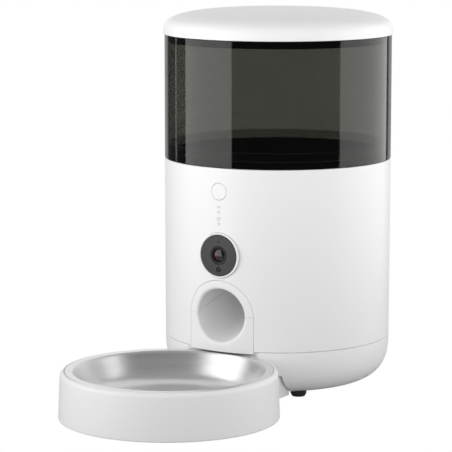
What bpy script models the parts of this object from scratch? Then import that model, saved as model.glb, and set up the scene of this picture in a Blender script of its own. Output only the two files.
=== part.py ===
"""Pet feeder with camera: a smoked food hopper on a round housing, with a chute over a steel bowl.

The feeder stands on z = 0 with +Z up and its chute facing -Y. The origin is the centre of its
footprint. Everything on the feeder's own axis hangs from one empty, and the bowl from another.
"""

import math

import bmesh
import bpy
from mathutils import Vector

# How the sizes fit together
FIT_GAP = 0.0003
OVERRUN = 0.004
SEAM_GAP = 0.0003
RING_STEPS = 48
MIDDLE_STEPS = 24
SMALL_STEPS = 16
FINE_STEPS = 8
SMOOTH_ANGLE = math.radians(32)
OFF_AXIS_TWIST = math.radians(7)

# Feeder body, measured up from the floor
HOUSING_TOP_RADIUS = 0.0968
HOUSING_TAPER = 0.0004
HOUSING_WALL = 0.0027
SEAM_HEIGHT = 0.0421
HOUSING_HEIGHT = 0.1525
TANK_HEIGHT = 0.1052

# Lid
LID_OVERHANG = 0.0010
LID_RISE = 0.0211
LID_WALL = 0.0026
LID_CURVE_POWER = 3.31
LID_CURVE_STEPS = 8
LID_PLUG_WALL = 0.0020
LID_PLUG_DEPTH = 0.0068
SEAL_THICKNESS = 0.0018
SEAL_HEIGHT = 0.0062

# Moisture box under the lid
MOISTURE_BOX_RADIUS = 0.0290
MOISTURE_BOX_WALL = 0.0018
MOISTURE_BOX_HEIGHT = 0.0142
MOISTURE_COVER_THICKNESS = 0.0017
MOISTURE_COLLAR_WALL = 0.0018
MOISTURE_COLLAR_HEIGHT = 0.0050
MOISTURE_VENT_RADIUS = 0.0016
MOISTURE_VENT_CIRCLE = 0.0170
MOISTURE_VENTS = 6
MOISTURE_GRIP_SIZE = (0.0360, 0.0030, 0.0020)

# Hopper funnel and dosing chamber
COLLAR_WALL = 0.0020
COLLAR_HEIGHT = 0.0134
COLLAR_DEPTH = 0.0050
FUNNEL_LIP_HEIGHT = 0.0059
FUNNEL_SHOULDER = 0.0063
CHAMBER_RADIUS = 0.0500
CHAMBER_WALL = 0.0020
FUNNEL_DEPTH = 0.0716
CHAMBER_FLOOR = 0.0024
CHAMBER_DEPTH = 0.0316
SHAFT_HOLE_RADIUS = 0.0065
OUTLET_RADIUS = 0.0160
OUTLET_REACH = 0.0330

# Dosing rotor and what turns with it
ROTOR_RUNNING_GAP = 0.0006
ROTOR_HEIGHT = 0.0262
ROTOR_HUB_RADIUS = 0.0110
ROTOR_VANES = 6
ROTOR_VANE_THICKNESS = 0.0024
ROTOR_VANE_ROOT_THICKNESS = 0.0030
BAFFLE_THICKNESS = 0.0020
BAFFLE_INNER_RADIUS = 0.0125
BAFFLE_HALF_ANGLE = math.radians(42)
AGITATOR_HUB_RADIUS = 0.0080
AGITATOR_HUB_HEIGHT = 0.0125
AGITATOR_STEM_RADIUS = 0.0030
AGITATOR_STEM_DEPTH = 0.0060
AGITATOR_ARM_RADIUS = 0.0022
AGITATOR_ARM_REACH = 0.0340
AGITATOR_ARM_HEIGHT = 0.0075

# Hopper seat inside the housing
SEAT_CLEARANCE = 0.0010
SEAT_WALL = 0.0020
SEAT_FLANGE_THICKNESS = 0.0023
SEAT_FLOOR = 0.0025
LEDGE_REACH = 0.0029
LEDGE_HEIGHT = 0.0028

# Chute, from its mouth to the hopper's outlet
CHUTE_PANEL_HALF_WIDTH = 0.0303
CHUTE_PANEL_BOTTOM = 0.0407
CHUTE_SPLIT_HEIGHT = 0.0703
CHUTE_MOUTH_HEIGHT = 0.0710
CHUTE_MOUTH_RADIUS = 0.0224
CHUTE_MOUTH_ROUND = 0.0010
CHUTE_THROAT_RADIUS = 0.0166
CHUTE_SLOPE = math.radians(16)
CHUTE_RAMP_LENGTH = 0.0250
CHUTE_WALL = 0.0020
CHUTE_BEND_STEPS = 7
CHUTE_BEND_PULL_SHARE = 0.55
CHUTE_SHELF_THICKNESS = 0.0020

# Camera in the front of the housing, its pieces measured along its own axis
CAMERA_DROP = 0.0728
CAMERA_PROUD = 0.0008
BEZEL_RADIUS = 0.0190
BEZEL_WALL = 0.0015
BEZEL_DEPTH = 0.0114
WINDOW_RECESS = 0.0002
WINDOW_THICKNESS = 0.0018
LENS_RING_RADIUS = 0.00745
LENS_RING_WALL = 0.00185
LENS_RING_PROUD = 0.0002
LENS_RING_DEPTH = 0.0056
LENS_CROWN = 0.0012
LENS_RECESS = 0.0006
BARREL_RADIUS = 0.0070
CAMERA_BOARD_THICKNESS = 0.0016
LIGHT_SENSOR_DROP = 0.0118
LIGHT_SENSOR_RADIUS = 0.0020
MICROPHONE_RISE = 0.0115
MICROPHONE_RADIUS = 0.0025
MICROPHONE_HOLE_RADIUS = 0.0006
NIGHT_LIGHT_SPREAD = 0.0120
NIGHT_LIGHT_RADIUS = 0.0024

# Feed button, its lights and its board
BUTTON_DROP = 0.0194
BUTTON_RADIUS = 0.0070
BUTTON_CAP_DEPTH = 0.0034
BUTTON_FLANGE_REACH = 0.0015
BUTTON_FLANGE_THICKNESS = 0.0012
BUTTON_STEM_RADIUS = 0.0020
BUTTON_STEM_LENGTH = 0.0020
BUTTON_TRAVEL = 0.0008
LIGHT_DROPS = (0.0169, 0.0270)
LIGHT_RADIUS = 0.0008
BUTTON_BOARD_SIZE = (0.0200, 0.0016, 0.0354)
BUTTON_BOARD_RISE = 0.0032
BUTTON_BOARD_SETBACK = 0.0077
BUTTON_SWITCH_SIDE = 0.0060
BOARD_POST_RADIUS = 0.0015
FRONT_POST_SPREAD = 0.0075
FRONT_POST_DROPS = (0.0127, 0.0292)

# Gear train under the hopper seat
GEAR_MODULE = 0.0010
GEAR_BACKLASH = 0.00022
GEAR_ADDENDUM_SHARE = 0.88
GEAR_DEDENDUM_SHARE = 1.2
PRESSURE_ANGLE = math.radians(20)
DRIVE_TEETH = 20
IDLER_TEETH = 30
PINION_TEETH = 12
GEAR_FACE_WIDTH = 0.0070
GEAR_FLOOR_CLEARANCE = 0.0040
GEAR_CASE_WALL = 0.0016
GEAR_CASE_FLOOR = 0.0020
GEAR_CASE_DEPTH = 0.0160
GEAR_CASE_CLEARANCE = 0.0009
DRIVE_SHAFT_RADIUS = 0.0042
DRIVE_HEX_HEIGHT = 0.0118
DRIVE_SOCKET_GAP = 0.0006
IDLER_JOURNAL_RADIUS = 0.0025
MOTOR_SHAFT_RADIUS = 0.0012
MOTOR_SHAFT_DEPTH = 0.0090
MOTOR_RADIUS = 0.0120
MOTOR_LENGTH = 0.0340
MOTOR_BOSS_RADIUS = 0.0050
MOTOR_BOSS_HEIGHT = 0.0030
BUSH_WALL = 0.0015
BUSH_FLANGE_REACH = 0.0020
BUSH_FLANGE_THICKNESS = 0.0017

# Electronics and openings at the back
MAIN_BOARD_SIZE = (0.0640, 0.0016, 0.0600)
MAIN_BOARD_BOTTOM = 0.0480
MAIN_BOARD_SETBACK = 0.0137
CHIP_SIZES = ((0.0200, 0.0030, 0.0160), (0.0120, 0.0024, 0.0120), (0.0080, 0.0060, 0.0180))
CHIP_PLACE_SHARES = ((-0.22, 0.68), (0.24, 0.62), (0.05, 0.22))
REAR_POST_SPREAD = 0.0270
REAR_POST_RISE = 0.0060
REAR_POST_RADIUS = 0.0030
INLET_SIZE = (0.0120, 0.0138, 0.0075)
INLET_HEIGHT = 0.0550
INLET_SLOT_SIZE = (0.0092, 0.0080, 0.0034)
RESET_OFFSET = 0.0160
RESET_HEIGHT = 0.0660
RESET_RADIUS = 0.0020
RESET_FLANGE_REACH = 0.0010
RESET_FLANGE_DEPTH = 0.0034
RESET_TRAVEL = 0.0006
RESET_RECESS = 0.0003
RESET_SWITCH_SIZE = (0.0050, 0.0046, 0.0050)
SPEAKER_DROP = 0.0546
SPEAKER_RADIUS = 0.0140
SPEAKER_DEPTH = 0.0050
SPEAKER_MAGNET_RADIUS = 0.0080
SPEAKER_MAGNET_DEPTH = 0.0040
SPEAKER_RING_WALL = 0.0017
SPEAKER_SETBACK = 0.0016
GRILLE_HOLE_RADIUS = 0.0010
GRILLE_CIRCLE = 0.0060
GRILLE_HOLES = 8

# Food sensors beside the chute
FOOD_SENSOR_RADIUS = 0.0025
FOOD_SENSOR_LENGTH = 0.0080
FOOD_SENSOR_SETBACK = 0.0164
FOOD_SENSOR_RISE = 0.0042

# Base shell
BASE_ROUND = 0.0385
BASE_FLAT_HEIGHT = 0.0032
BASE_CURVE_POWER = 2.66
BASE_CURVE_STEPS = 7
BASE_WALL = 0.0030
BASE_LIP_WALL = 0.0020
BASE_LIP_RISE = 0.0057
BASE_LIP_OVERLAP = 0.0030
RECESS_CLEARANCE = 0.0007
LINING_WALL = 0.0024
SLOT_HALF_WIDTH = 0.0505
SLOT_HEIGHT = 0.0220
SLOT_DEPTH = 0.0349

# Feet and base screws
FOOT_SETBACK = 0.0259
FOOT_RADIUS = 0.0068
FOOT_SOLE_SHARE = 0.72
FOOT_HEIGHT = 0.0056
FOOT_POCKET_ROOF = 0.0027
FOOT_ANGLES = tuple(math.radians(angle) for angle in (-45, 45, 135, 225))
SCREW_SETBACK = 0.0109
SCREW_ANGLES = tuple(math.radians(angle) for angle in (0, 60, 120, 180))
SCREW_HEAD_RADIUS = 0.0030
SCREW_HEAD_HEIGHT = 0.0022
SCREW_SHANK_RADIUS = 0.0014
SCREW_LENGTH = 0.0380
SCREW_HEAD_LEVEL = 0.0200
SCREW_DRIVE_RADIUS = 0.0010
SCREW_DRIVE_DEPTH = 0.0012
SCREW_POST_WALL = 0.0022
SCREW_POST_HEIGHT = 0.0200
SCREW_RIB_WIDTH = 0.0030

# Batteries, three across the base
CELL_RADIUS = 0.0164
CELL_LENGTH = 0.0600
CELL_TIP_RADIUS = 0.0048
CELL_TIP_LENGTH = 0.0015
CELL_SPACING = 0.0340
CELLS = 3
CONTACT_THICKNESS = 0.0006
CONTACT_HEIGHT = 0.0240
BATTERY_BOX_WALL = 0.0018
BATTERY_BOX_CORNER = 0.0060
BATTERY_DOOR_THICKNESS = 0.0024
BATTERY_DOOR_SIZE = (0.0680, 0.1040)

# Bowl holder and bowl, on their own axis in front of the feeder
BOWL_STANDOFF = 0.0770
HOLDER_FOOT_RADIUS = 0.0897
HOLDER_CORNER_RADIUS = 0.0882
HOLDER_CORNER_HEIGHT = 0.0350
HOLDER_RIM_RADIUS = 0.0847
HOLDER_RIM_HEIGHT = 0.0392
HOLDER_ROUND_STEPS = 3
HOLDER_WALL = 0.0026
HOLDER_FOOT_LEVEL = 0.0006
HOLDER_FOOT_ROUND = 0.0012
HOLDER_FOOT_RIM = 0.0087
HOLDER_FOOT_THICKNESS = 0.0028
DISH_FLANGE_THICKNESS = 0.0020
GRIP_RING_WIDTH = 0.0035
GRIP_RING_HEIGHT = 0.0013
GRIP_RING_INSET = 0.0034
ARM_HALF_WIDTH = 0.0482
ARM_TOP = 0.0214
ARM_BOTTOM = 0.0024
ARM_WALL = 0.0024
ARM_END_GAP = 0.0005
BOWL_METAL = 0.0010
BOWL_FLANGE_RADIUS = 0.0843
BOWL_MOUTH_RADIUS = 0.0782
BOWL_FLOOR_HEIGHT = 0.0130
BOWL_WALL_SHARES = ((0.985, 0.93), (0.945, 0.66), (0.870, 0.24), (0.775, 0.06), (0.68, 0.01))

# Places that follow from the sizes
HOUSING_FOOT_RADIUS = HOUSING_TOP_RADIUS - HOUSING_TAPER
HOUSING_INNER_RADIUS = HOUSING_FOOT_RADIUS - HOUSING_WALL
LID_RADIUS = HOUSING_TOP_RADIUS + LID_OVERHANG
TANK_SEAT_HEIGHT = SEAM_HEIGHT + HOUSING_HEIGHT
TANK_TOP_HEIGHT = TANK_SEAT_HEIGHT + TANK_HEIGHT
BASE_FLAT_RADIUS = HOUSING_FOOT_RADIUS - BASE_ROUND
SLOT_BACK_REACH = HOUSING_FOOT_RADIUS - SLOT_DEPTH
FOOT_CIRCLE = HOUSING_FOOT_RADIUS - FOOT_SETBACK
SCREW_CIRCLE = HOUSING_FOOT_RADIUS - SCREW_SETBACK
BOWL_REACH = HOUSING_FOOT_RADIUS + BOWL_STANDOFF
CAMERA_HEIGHT = TANK_SEAT_HEIGHT - CAMERA_DROP
BUTTON_HEIGHT = TANK_SEAT_HEIGHT - BUTTON_DROP
LIGHT_HEIGHTS = tuple(BUTTON_HEIGHT - drop for drop in LIGHT_DROPS)
FRONT_POST_HEIGHTS = tuple(BUTTON_HEIGHT - drop for drop in FRONT_POST_DROPS)
BUTTON_BOARD_TOP = BUTTON_HEIGHT + BUTTON_BOARD_RISE
BUTTON_BOARD_BOTTOM = BUTTON_BOARD_TOP - BUTTON_BOARD_SIZE[2]
BUTTON_BOARD_REACH = HOUSING_INNER_RADIUS - BUTTON_BOARD_SETBACK
MAIN_BOARD_REACH = HOUSING_INNER_RADIUS - MAIN_BOARD_SETBACK
SPEAKER_HEIGHT = TANK_SEAT_HEIGHT - SPEAKER_DROP
FOOD_SENSOR_REACH = HOUSING_FOOT_RADIUS - FOOD_SENSOR_SETBACK
FRONT_REACH = BOWL_REACH + HOLDER_FOOT_RADIUS
BODY_Y = (FRONT_REACH - LID_RADIUS) / 2
BOWL_Y = BODY_Y - BOWL_REACH
LID_EDGE_HEIGHT = TANK_TOP_HEIGHT + FIT_GAP
TANK_INNER_RADIUS = HOUSING_TOP_RADIUS - HOUSING_WALL
COLLAR_RADIUS = TANK_INNER_RADIUS - FIT_GAP
LID_PLUG_RADIUS = COLLAR_RADIUS - SEAL_THICKNESS - FIT_GAP
MOISTURE_BOX_TOP = LID_EDGE_HEIGHT + LID_RISE - LID_WALL - 2 * FIT_GAP
MOISTURE_BOX_BOTTOM = MOISTURE_BOX_TOP - MOISTURE_BOX_HEIGHT
SHOULDER_HEIGHT = TANK_SEAT_HEIGHT - COLLAR_DEPTH
SHOULDER_RADIUS = COLLAR_RADIUS - FUNNEL_SHOULDER
CHAMBER_FLOOR_HEIGHT = SHOULDER_HEIGHT - FUNNEL_DEPTH
CHAMBER_TOP = CHAMBER_FLOOR_HEIGHT + CHAMBER_FLOOR + CHAMBER_DEPTH
ROTOR_BOTTOM = CHAMBER_FLOOR_HEIGHT + CHAMBER_FLOOR + ROTOR_RUNNING_GAP
ROTOR_TOP = ROTOR_BOTTOM + ROTOR_HEIGHT
ROTOR_RADIUS = CHAMBER_RADIUS - ROTOR_RUNNING_GAP
SEAT_TOP = SHOULDER_HEIGHT - FIT_GAP
SEAT_FLOOR_TOP = CHAMBER_FLOOR_HEIGHT - FIT_GAP
SEAT_FLOOR_BOTTOM = SEAT_FLOOR_TOP - SEAT_FLOOR
SEAT_INNER_RADIUS = CHAMBER_RADIUS + CHAMBER_WALL + SEAT_CLEARANCE
SEAT_OUTER_RADIUS = SEAT_INNER_RADIUS + SEAT_WALL
LEDGE_TOP = SEAT_TOP - SEAT_FLANGE_THICKNESS - FIT_GAP
GEAR_CASE_TOP = SEAT_FLOOR_BOTTOM - FIT_GAP
GEAR_CASE_BOTTOM = GEAR_CASE_TOP - GEAR_CASE_DEPTH - GEAR_CASE_FLOOR
GEAR_BOTTOM = GEAR_CASE_BOTTOM + GEAR_CASE_FLOOR + GEAR_FLOOR_CLEARANCE
GEAR_TOP = GEAR_BOTTOM + GEAR_FACE_WIDTH
IDLER_REACH = GEAR_MODULE * (DRIVE_TEETH + IDLER_TEETH) / 2
PINION_REACH = IDLER_REACH + GEAR_MODULE * (IDLER_TEETH + PINION_TEETH) / 2
DRIVE_HEX_TOP = ROTOR_BOTTOM + DRIVE_HEX_HEIGHT
BUSH_BORE = DRIVE_SHAFT_RADIUS + FIT_GAP
BUSH_RADIUS = BUSH_BORE + BUSH_WALL
MOTOR_TOP = GEAR_CASE_BOTTOM - FIT_GAP
HOUSING_BOTTOM = SEAM_HEIGHT + SEAM_GAP / 2
BASE_TOP = SEAM_HEIGHT - SEAM_GAP / 2
RECESS_RADIUS = HOLDER_FOOT_RADIUS + RECESS_CLEARANCE
CELL_HEIGHT = BASE_FLAT_HEIGHT + BASE_WALL + FIT_GAP + CELL_RADIUS
FLANGE_HEIGHT = HOLDER_RIM_HEIGHT
LEDGE_LEVEL = FLANGE_HEIGHT - BOWL_METAL - FIT_GAP
DISH_TOP = LEDGE_LEVEL - HOLDER_WALL - FIT_GAP

parts = None
cutters = None
frames = {}


def remove_everything():
    """Empty the scene, so that running the script again gives the same model."""
    for thing in list(bpy.data.objects):
        bpy.data.objects.remove(thing)
    for group in list(bpy.data.collections):
        bpy.data.collections.remove(group)


def make_collection(name):
    group = bpy.data.collections.new(name)
    bpy.context.scene.collection.children.link(group)
    return group


def make_frame(name, place, turn=(0, 0, 0)):
    """An empty that carries the pieces of one axis."""
    frame = bpy.data.objects.new(name, None)
    frame.empty_display_size = BEZEL_RADIUS
    frame.location = place
    frame.rotation_euler = turn
    parts.objects.link(frame)
    frames[name] = frame
    return frame


def plastic(name, colour, roughness=0.45, metallic=0, alpha=1):
    """A Principled material, found again by its name."""
    material = bpy.data.materials.get(name) or bpy.data.materials.new(name)
    material.use_nodes = True
    shader = material.node_tree.nodes["Principled BSDF"]
    shader.inputs["Base Color"].default_value = (*colour, 1)
    shader.inputs["Roughness"].default_value = roughness
    shader.inputs["Metallic"].default_value = metallic
    shader.inputs["Alpha"].default_value = alpha
    material.diffuse_color = (*colour, alpha)
    return material


def add_object(name, mesh, frame, is_tool=False):
    """Link a mesh under one of the frames, as a piece or as a tool that shapes pieces."""
    thing = bpy.data.objects.new(name, mesh)
    thing.parent = frames[frame]
    if is_tool:
        cutters.objects.link(thing)
        thing.hide_render = True
        thing.display_type = "WIRE"
    else:
        parts.objects.link(thing)
    return thing


def turned(name, frame, profile, steps=RING_STEPS, closed=True, is_tool=False):
    """Spin a profile of (radius, height) points round its frame's Z axis.

    The points run down the outer side. A closed profile makes a ring. An open one starts and
    ends on the axis and makes a solid.
    """
    mesh = bpy.data.meshes.new(name)
    points = [(radius, 0, height) for radius, height in profile]
    edges = [(index, index + 1) for index in range(len(points) - 1)]
    if closed:
        edges.append((len(points) - 1, 0))
    mesh.from_pydata(points, edges, [])
    thing = add_object(name, mesh, frame, is_tool)
    screw = thing.modifiers.new("Turn", "SCREW")
    screw.steps = steps
    screw.render_steps = steps
    screw.use_merge_vertices = True
    screw.merge_threshold = FIT_GAP / 100
    return thing


def ring(name, frame, outer, inner, top, bottom, steps=RING_STEPS, is_tool=False):
    profile = [(outer, top), (outer, bottom), (inner, bottom), (inner, top)]
    return turned(name, frame, profile, steps, True, is_tool)


def stepped_rod(name, frame, levels, steps=SMALL_STEPS, is_tool=False, place=(0, 0, 0)):
    """A turned solid from (radius, top, bottom) levels, listed from the top down."""
    profile = [(0, levels[0][1])]
    for radius, top, bottom in levels:
        profile.append((radius, top))
        profile.append((radius, bottom))
    profile.append((0, levels[-1][2]))
    thing = turned(name, frame, profile, steps, False, is_tool)
    if any(place):
        thing.location = place
        thing.rotation_euler = (0, 0, OFF_AXIS_TWIST)
    return thing


def rod(name, frame, radius, top, bottom, steps=SMALL_STEPS, is_tool=False, place=(0, 0, 0)):
    return stepped_rod(name, frame, [(radius, top, bottom)], steps, is_tool, place)


def block(name, frame, low, high, is_tool=False):
    """A box between two corners."""
    mesh = bpy.data.meshes.new(name)
    shape = bmesh.new()
    bmesh.ops.create_cube(shape, size=1)
    low = Vector(low)
    high = Vector(high)
    bmesh.ops.scale(shape, vec=high - low, verts=shape.verts)
    bmesh.ops.translate(shape, vec=(high + low) / 2, verts=shape.verts)
    shape.to_mesh(mesh)
    shape.free()
    return add_object(name, mesh, frame, is_tool)


def across_rod(name, frame, radius, start, end, steps=FINE_STEPS, is_tool=False):
    """A plain rod between two points."""
    mesh = bpy.data.meshes.new(name)
    shape = bmesh.new()
    start = Vector(start)
    along = Vector(end) - start
    bmesh.ops.create_cone(
        shape, cap_ends=True, segments=steps, radius1=radius, radius2=radius, depth=along.length
    )
    turn = Vector((0, 0, 1)).rotation_difference(along).to_matrix()
    bmesh.ops.rotate(shape, cent=(0, 0, 0), matrix=turn, verts=shape.verts)
    bmesh.ops.translate(shape, vec=start + along / 2, verts=shape.verts)
    shape.to_mesh(mesh)
    shape.free()
    return add_object(name, mesh, frame, is_tool)


def curve_to_mesh(curve, name, frame, is_tool, turn_to=None):
    """Turn a curve into a closed mesh, because a curve can neither be cut nor cut others."""
    guide = bpy.data.objects.new(name + " guide", curve)
    parts.objects.link(guide)
    if turn_to is not None:
        guide.matrix_world = turn_to
    bpy.context.view_layer.update()
    mesh = bpy.data.meshes.new_from_object(guide.evaluated_get(bpy.context.evaluated_depsgraph_get()))
    mesh.transform(guide.matrix_world)
    bpy.data.objects.remove(guide)
    shape = bmesh.new()
    shape.from_mesh(mesh)
    bmesh.ops.remove_doubles(shape, verts=shape.verts, dist=FIT_GAP / 100)
    bmesh.ops.recalc_face_normals(shape, faces=shape.faces)
    shape.to_mesh(mesh)
    shape.free()
    return add_object(name, mesh, frame, is_tool)


def slab(name, frame, outline, low, high, is_tool=False, sideways=False):
    """A flat outline given a thickness: up Z from low to high, or sideways, along X, from (y, z) points."""
    curve = bpy.data.curves.new(name, "CURVE")
    curve.dimensions = "2D"
    curve.fill_mode = "BOTH"
    curve.extrude = (high - low) / 2
    spline = curve.splines.new("POLY")
    spline.points.add(len(outline) - 1)
    for point, (across, along) in zip(spline.points, outline):
        point.co = (across, along, 0, 1)
    spline.use_cyclic_u = True
    thing = curve_to_mesh(curve, name, frame, is_tool)
    if sideways:
        swap = [(2, 0), (0, 1), (1, 2)]
        for vertex in thing.data.vertices:
            old = vertex.co.copy()
            for source, target in swap:
                vertex.co[target] = old[source]
    for vertex in thing.data.vertices:
        vertex.co[0 if sideways else 2] += (high + low) / 2
    return thing


def swept(name, frame, stations, is_tool=False):
    """A round tube through (y, z, radius) stations in the feeder's middle plane."""
    curve = bpy.data.curves.new(name, "CURVE")
    curve.dimensions = "3D"
    curve.twist_mode = "Z_UP"
    curve.bevel_depth = 1
    curve.bevel_resolution = MIDDLE_STEPS // 2 - 2
    curve.use_fill_caps = True
    spline = curve.splines.new("POLY")
    spline.points.add(len(stations) - 1)
    for point, (along, height, radius) in zip(spline.points, stations):
        point.co = (0, along, height, 1)
        point.radius = radius
    return curve_to_mesh(curve, name, frame, is_tool)


def shape_with(thing, tool, operation):
    change = thing.modifiers.new(operation.title() + " " + tool.name, "BOOLEAN")
    change.operation = operation
    change.solver = "EXACT"
    change.object = tool


def cut(thing, *tools):
    for tool in tools:
        shape_with(thing, tool, "DIFFERENCE")


def join(thing, *tools):
    for tool in tools:
        shape_with(thing, tool, "UNION")


def keep(thing, *tools):
    for tool in tools:
        shape_with(thing, tool, "INTERSECT")


def paint(material, *things):
    for thing in things:
        thing.data.materials.clear()
        thing.data.materials.append(material)


def super_curve(flat, outer, edge, rise, power, steps):
    """Points from the flat middle, at edge plus rise, out and back to the rim, at the edge height."""
    points = []
    for step in range(steps + 1):
        turn = math.pi / 2 * (1 - step / steps)
        across = max(math.cos(turn), 0) ** (2 / power)
        up = math.sin(turn) ** (2 / power)
        points.append((flat + (outer - flat) * across, edge + rise * up))
    return points


def round_places(count, radius, start=0.0):
    step = 2 * math.pi / count
    return [(radius * math.cos(start + step * n), radius * math.sin(start + step * n)) for n in range(count)]


def rounded_outline(half_width, half_length, corner):
    """A rectangle about the origin with rounded corners."""
    outline = []
    for quarter, (side, end) in enumerate(((1, 1), (-1, 1), (-1, -1), (1, -1))):
        for step in range(FINE_STEPS // 2 + 1):
            turn = math.pi / 2 * (quarter + 2 * step / FINE_STEPS)
            across = side * (half_width - corner) + corner * math.cos(turn)
            outline.append((across, end * (half_length - corner) + corner * math.sin(turn)))
    return outline


def wall_radius(height):
    """The housing's outer radius, which draws in a little towards its foot."""
    share = (height - SEAM_HEIGHT) / (TANK_SEAT_HEIGHT - SEAM_HEIGHT)
    return HOUSING_FOOT_RADIUS + (HOUSING_TOP_RADIUS - HOUSING_FOOT_RADIUS) * share


def make_lid():
    """A domed shell with a plug ring that drops into the tank."""
    dome = super_curve(0, LID_RADIUS, LID_EDGE_HEIGHT, LID_RISE, LID_CURVE_POWER, LID_CURVE_STEPS)
    inner_plug = LID_PLUG_RADIUS - LID_PLUG_WALL
    roof = super_curve(
        0, LID_RADIUS - LID_WALL, LID_EDGE_HEIGHT, LID_RISE - LID_WALL, LID_CURVE_POWER, LID_CURVE_STEPS
    )
    under = [point for point in reversed(roof) if point[0] < inner_plug]
    plug_bottom = LID_EDGE_HEIGHT - LID_PLUG_DEPTH
    plug = [
        (LID_PLUG_RADIUS, LID_EDGE_HEIGHT),
        (LID_PLUG_RADIUS, plug_bottom),
        (inner_plug, plug_bottom),
        (inner_plug, under[0][1]),
    ]
    return turned("lid", "feeder_axis", dome + plug + under, closed=False)


def make_lid_seal():
    top = LID_EDGE_HEIGHT - FIT_GAP
    inner = COLLAR_RADIUS - SEAL_THICKNESS
    return ring("lid_seal", "feeder_axis", COLLAR_RADIUS, inner, top, top - SEAL_HEIGHT)


def make_moisture_box():
    """A cup that hangs open side down from the lid."""
    inner = MOISTURE_BOX_RADIUS - MOISTURE_BOX_WALL
    roof = MOISTURE_BOX_TOP - MOISTURE_BOX_WALL
    profile = [
        (0, MOISTURE_BOX_TOP),
        (MOISTURE_BOX_RADIUS, MOISTURE_BOX_TOP),
        (MOISTURE_BOX_RADIUS, MOISTURE_BOX_BOTTOM),
        (inner, MOISTURE_BOX_BOTTOM),
        (inner, roof),
        (0, roof),
    ]
    return turned("moisture_box", "feeder_axis", profile, MIDDLE_STEPS, closed=False)


def make_moisture_cover():
    """A vented disc that twists into the cup, with a bar to grip."""
    top = MOISTURE_BOX_BOTTOM - FIT_GAP
    bottom = top - MOISTURE_COVER_THICKNESS
    collar = MOISTURE_BOX_RADIUS - MOISTURE_BOX_WALL - FIT_GAP
    collar_top = top + MOISTURE_COLLAR_HEIGHT
    profile = [
        (0, top),
        (collar - MOISTURE_COLLAR_WALL, top),
        (collar - MOISTURE_COLLAR_WALL, collar_top),
        (collar, collar_top),
        (collar, top),
        (MOISTURE_BOX_RADIUS, top),
        (MOISTURE_BOX_RADIUS, bottom),
        (0, bottom),
    ]
    cover = turned("moisture_cover", "feeder_axis", profile, MIDDLE_STEPS, closed=False)
    long, wide, tall = MOISTURE_GRIP_SIZE
    low = (-long / 2, -wide / 2, bottom - tall)
    high = (long / 2, wide / 2, bottom + MOISTURE_COVER_THICKNESS / 2)
    join(cover, block("moisture grip", "feeder_axis", low, high, is_tool=True))
    places = round_places(MOISTURE_VENTS, MOISTURE_VENT_CIRCLE, math.pi / MOISTURE_VENTS / 2)
    for number, (across, along) in enumerate(places):
        vent = rod(
            f"moisture vent {number}", "feeder_axis", MOISTURE_VENT_RADIUS, top + OVERRUN, bottom - OVERRUN,
            FINE_STEPS, True, (across, along, 0),
        )
        cut(cover, vent)
    return cover


def make_hopper_tank():
    bottom = TANK_SEAT_HEIGHT + FIT_GAP
    return ring(
        "hopper_tank", "feeder_axis", HOUSING_TOP_RADIUS, TANK_INNER_RADIUS, TANK_TOP_HEIGHT, bottom
    )


def make_hopper_funnel():
    """The tank's floor: a collar inside the tank wall, a cone, and the dosing chamber below it."""
    lip = TANK_SEAT_HEIGHT + FUNNEL_LIP_HEIGHT
    top = TANK_SEAT_HEIGHT + COLLAR_HEIGHT
    floor = CHAMBER_FLOOR_HEIGHT + CHAMBER_FLOOR
    inner_collar = COLLAR_RADIUS - COLLAR_WALL
    profile = [
        (COLLAR_RADIUS, top),
        (COLLAR_RADIUS, SHOULDER_HEIGHT),
        (SHOULDER_RADIUS, SHOULDER_HEIGHT),
        (CHAMBER_RADIUS + CHAMBER_WALL, CHAMBER_TOP),
        (CHAMBER_RADIUS + CHAMBER_WALL, CHAMBER_FLOOR_HEIGHT),
        (SHAFT_HOLE_RADIUS, CHAMBER_FLOOR_HEIGHT),
        (SHAFT_HOLE_RADIUS, floor),
        (CHAMBER_RADIUS, floor),
        (CHAMBER_RADIUS, CHAMBER_TOP),
        (inner_collar, lip),
        (inner_collar, top),
    ]
    funnel = turned("hopper_funnel", "feeder_axis", profile)
    outlet = rod(
        "outlet cutter", "feeder_axis", OUTLET_RADIUS, floor + OVERRUN, CHAMBER_FLOOR_HEIGHT - OVERRUN,
        MIDDLE_STEPS, True, (0, -OUTLET_REACH, 0),
    )
    cut(funnel, outlet)
    return funnel


def make_portion_baffle():
    """A sector plate over the outlet, so that food only leaves inside the rotor's pockets."""
    outer = CHAMBER_RADIUS - FIT_GAP
    steps = FINE_STEPS
    start = -math.pi / 2 - BAFFLE_HALF_ANGLE
    outline = []
    for step in range(steps + 1):
        turn = start + 2 * BAFFLE_HALF_ANGLE * step / steps
        outline.append((outer * math.cos(turn), outer * math.sin(turn)))
    for step in range(steps, -1, -2):
        turn = start + 2 * BAFFLE_HALF_ANGLE * step / steps
        outline.append((BAFFLE_INNER_RADIUS * math.cos(turn), BAFFLE_INNER_RADIUS * math.sin(turn)))
    bottom = ROTOR_TOP + ROTOR_RUNNING_GAP
    return slab("portion_baffle", "feeder_axis", outline, bottom, bottom + BAFFLE_THICKNESS)


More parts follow.
